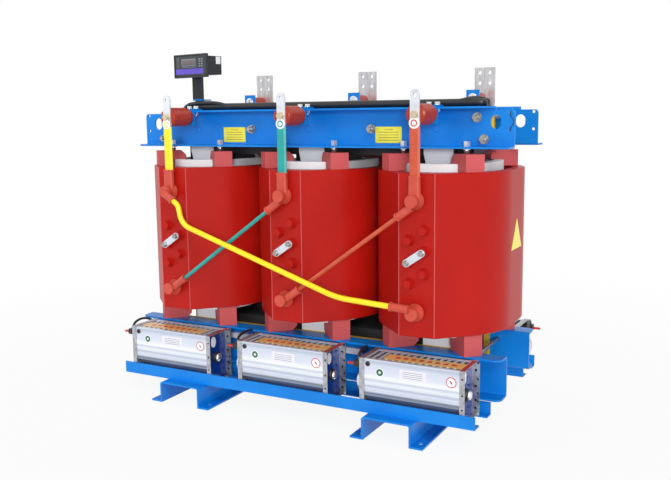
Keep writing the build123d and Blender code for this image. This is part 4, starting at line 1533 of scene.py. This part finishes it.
@dataclass
class BlowerRows:
    """The two rows of fans."""

    shop: Workshop
    layout: Layout
    amber_shifts: tuple[float, float, float] = (-0.036, 0.0, 0.012)
    lead_radius: float = 0.0045
    # The leads' points: along the row from the fan's middle towards its motor, out from the core, and up.
    lead_start: tuple[Point, ...] = (
        (0.182, 0.333, 0.230), (0.183, 0.331, 0.246), (0.188, 0.300, 0.256), (0.196, 0.255, 0.254))
    lead_ends: tuple[tuple[Point, ...], ...] = (
        ((0.206, 0.205, 0.236), (0.208, 0.170, 0.213), (0.197, 0.163, 0.206), (0.178, 0.163, 0.206)),
        ((0.203, 0.205, 0.246), (0.208, 0.170, 0.238), (0.212, 0.163, 0.226), (0.212, 0.163, 0.210)),
        ((0.212, 0.205, 0.240), (0.232, 0.172, 0.216), (0.246, 0.163, 0.206), (0.260, 0.163, 0.206)))

    def build(self) -> None:
        """Dresses the fan nodes and adds each fan's small pieces."""
        dress = self.shop.finishes.dress_node
        dress("fan_covers", "fan_sheet")
        dress("fan_end_plates", "galvanised_sheet")
        dress("fan_motors", "motor_steel")
        dress("fan_bearings", "black_rubber")
        for side, label in ((-1, "front"), (1, "rear")):
            for (name, x), shift in zip(self.layout.phases, self.amber_shifts):
                dress(f"impeller_{label}_{name}", "impeller_sheet")
                Blower(self.shop, f"{label}_{name}", x, side, shift).build()
                self.lead(f"{label}_{name}", x, side)

    def lead(self, name: str, x: float, side: int) -> None:
        """Adds the black lead from a fan's connector into the wiring duct.

        Args:
            name: the fan.
            x: its place along the row.
            side: -1 for the front, 1 for the rear.
        """
        order = 1 if side < 0 else -1
        end = dict(zip(self.layout.names[::order], self.lead_ends))[name[-1]]
        points = [(x + side * along, side * y, z) for along, y, z in self.lead_start + end]
        self.shop.lead(f"fan_{name}_lead", points, self.lead_radius)


@dataclass
class Control:
    """The temperature controller, its post and the wiring."""

    shop: Workshop
    place: Point = (-0.515, -0.104, 1.134)
    turn: float = -11.0
    dish: float = 0.002
    strand: tuple[Point, ...] = (
        (-0.512, -0.150, 1.014), (-0.500, -0.152, 1.030), (-0.455, -0.150, 1.037),
        (-0.400, -0.148, 1.037), (-0.360, -0.146, 1.034), (-0.330, -0.144, 1.026))
    hoses: tuple[tuple[Point, Point, float], ...] = (
        ((0.532, -0.124, 1.026), (0.618, -0.120, 1.022), 0.010),
        ((0.526, -0.142, 1.024), (0.616, -0.138, 1.018), 0.008))
    hose_radius: float = 0.0085

    def build(self) -> None:
        """Dresses the control nodes and adds the face of the controller and its conduits."""
        dress = self.shop.finishes.dress_node
        dress("controller", "case_plastic")
        dress("controller_post", "post_paint")
        dress("yoke_harness", "lead_black")
        dress("wiring_ducts", "duct_plastic")
        self.conduits()
        self.face()

    def conduits(self) -> None:
        """Adds the loose strand at the controller's end and the ribbed conduits over the other."""
        self.shop.lead("harness_strand", self.strand, 0.0075)
        for index, (start, end, rise) in enumerate(self.hoses):
            mesh = bmesh.new()
            ribbed_hose(mesh, start, end, rise, self.hose_radius, 15)
            self.shop.keep(f"ribbed_conduit_{index}", mesh, "lead_black", "harness_black")

    @property
    def case(self) -> Matrix:
        """The middle of the case's bottom edge, turned with the case."""
        return Matrix.Translation(self.place) @ Matrix.Rotation(math.radians(self.turn), 4, "Z")

    def on_face(self, x: float, z: float) -> Matrix:
        """A place on the floor of the dished face, pointing outwards.

        Args:
            x: along the face from its middle.
            z: height above the case's bottom.

        Returns:
            The placement.
        """
        return self.case @ facing((x, self.dish, z))

    def _part(self, name: str, outline: Sequence[Flat], place: Matrix, depth: float, finish: str,
              slot: str = "controller_plastic", soften: float = 0.0) -> None:
        """Adds one raised part of the face.

        Args:
            name: its name.
            outline: its outline.
            place: where it lies.
            depth: how far it stands out.
            finish: its finish.
            slot: the record's material slot.
            soften: the bevel on its rim.
        """
        mesh = bmesh.new()
        self.shop.add_prism(mesh, outline, depth, place, soften)
        self.shop.keep(name, mesh, finish, slot)

    def face(self) -> None:
        """Adds the face plate, display, band and keys."""
        window = self.on_face(-0.009, 0.0505)
        self._part("controller_face", rounded(0.162, 0.070, 0.003), self.on_face(0.0, 0.038), 0.0006,
                   "case_face", soften=0.0002)
        self._part("controller_window_rim", rounded(0.076, 0.026, 0.003), window, 0.0012,
                   "display_rim", soften=0.0003)
        self._part("controller_window", rounded(0.069, 0.020, 0.002), window, 0.0016,
                   "display_window", soften=0.0002)
        self._part("controller_band", rounded(0.148, 0.0187, 0.001), self.on_face(-0.005, 0.0185), 0.0010,
                   "violet_band")
        self.marks()
        self.keys()
        self._part("controller_side_field", rounded(0.022, 0.026, 0.001),
                   self.case @ endward((0.0805, 0.064, 0.057)), 0.0008, "label_white", "duct_white")

    def marks(self) -> None:
        """Adds the two columns of round lamps and the row of dashes under the display."""
        marks = bmesh.new()
        for column in (-0.070, -0.062):
            for row in range(5):
                place = self.on_face(column, 0.038 + row * 0.0072)
                self.shop.add_prism(marks, disc(0.0017, 12), 0.0012, place)
        for index in range(9):
            dash = rounded(0.0062, 0.0024, 0.0008, 2)
            self.shop.add_prism(marks, dash, 0.0010, self.on_face(-0.041 + index * 0.0085, 0.0335))
        self.shop.keep("controller_marks", marks, "case_marks", "controller_plastic")

    def keys(self) -> None:
        """Adds the two columns of keys beside the display."""
        keys = bmesh.new()
        for row in range(4):
            for column in (0.050, 0.0625):
                key = rounded(0.0085, 0.0048, 0.002)
                self.shop.add_prism(keys, key, 0.0016, self.on_face(column, 0.036 + row * 0.0082), 0.0004)
        self.shop.keep("controller_keys", keys, "case_marks", "controller_plastic")


# ---------------------------------------------------------------------------
# Stage
# ---------------------------------------------------------------------------


CAMERA_AT: Point = (1.3971, -2.6002, 0.9906)


@dataclass(frozen=True)
class Lamp:
    """One soft distant light: where it comes from, what it lights, its strength and width in degrees."""

    name: str
    at: Point
    aim: Point
    strength: float
    spread: float

    def build(self) -> None:
        """Adds the light."""
        data = bpy.data.lights.new(self.name, "SUN")
        data.energy = self.strength
        data.angle = math.radians(self.spread)
        lamp = bpy.data.objects.new(self.name, data)
        lamp.location = self.at
        direction = Vector(self.aim) - Vector(self.at)
        lamp.rotation_euler = direction.to_track_quat("-Z", "Y").to_euler()
        bpy.context.scene.collection.objects.link(lamp)


@dataclass
class Studio:
    """The camera, floor and soft lights; angles are in degrees."""

    heading: float = 27.89
    dip: float = 8.15
    roll: float = -0.65
    lens: float = 44.90
    rise: float = -0.00805
    shown: float = 1.0
    ambient: float = 0.5
    lamps: tuple[Lamp, ...] = (
        Lamp("key", (2.2, -2.6, 3.4), (0.0, 0.0, 0.4), 0.95, 28.0),
        Lamp("front", CAMERA_AT, (0.0, 0.0, 0.55), 1.2, 14.0),
        Lamp("fill", (-3.0, -2.0, 1.8), (0.0, 0.0, 0.6), 0.3, 50.0))

    def build(self) -> None:
        """Makes the camera, floor, world and lamps."""
        self.camera()
        self.floor()
        self.world()
        for lamp in self.lamps:
            lamp.build()

    def camera(self) -> None:
        """Places the camera."""
        a, p, r = (math.radians(v) for v in (self.heading, self.dip, self.roll))
        forward = Vector((-math.sin(a) * math.cos(p), math.cos(a) * math.cos(p), -math.sin(p)))
        right = Vector((math.cos(a), math.sin(a), 0.0))
        up = right.cross(forward)
        across = right * math.cos(r) + up * math.sin(r)
        above = up * math.cos(r) - right * math.sin(r)
        data = bpy.data.cameras.new("camera")
        data.lens = self.lens
        data.sensor_width = 36.0
        data.shift_y = self.rise
        data.clip_end = 100.0
        camera = bpy.data.objects.new("camera", data)
        turn = Matrix((across, above, -forward)).transposed().to_4x4()
        camera.matrix_world = Matrix.Translation(CAMERA_AT) @ turn
        bpy.context.scene.collection.objects.link(camera)
        bpy.context.scene.camera = camera

    def floor(self) -> None:
        """Makes the pale floor."""
        mesh = bmesh.new()
        bmesh.ops.create_grid(mesh, x_segments=4, y_segments=4, size=30.0)
        data = bpy.data.meshes.new("floor")
        mesh.to_mesh(data)
        mesh.free()
        floor = bpy.data.objects.new("floor", data)
        floor.location.z = -0.0005
        data.materials.append(StudioGround("ground").build())
        bpy.context.scene.collection.objects.link(floor)

    def world(self) -> None:
        """Makes an even surround that is seen as white and lights the object less."""
        world = bpy.data.worlds.new("studio")
        bpy.context.scene.world = world
        s = Shader(world)
        strength = s.seen() * (self.shown - self.ambient) + self.ambient
        light = s.node("ShaderNodeBackground", None, {"Color": (1.0, 1.0, 1.0, 1.0), "Strength": strength})
        s.node("ShaderNodeOutputWorld", None, {"Surface": light})


def main() -> None:
    """Builds every sub-assembly in order and sets the scene."""
    logging.basicConfig(level=logging.INFO, format="%(name)s: %(message)s")
    bpy.context.scene.view_settings.view_transform = "Standard"
    shop = Workshop(Finishes())
    layout = Layout()
    Core(shop, layout).build()
    Windings(shop, layout).build()
    Frame(shop, layout).build()
    HighVoltageSide(shop, layout).build()
    LowVoltageSide(shop, layout).build()
    BlowerRows(shop, layout).build()
    Control(shop).build()
    Studio().build()


if __name__ == "__main__":
    main()
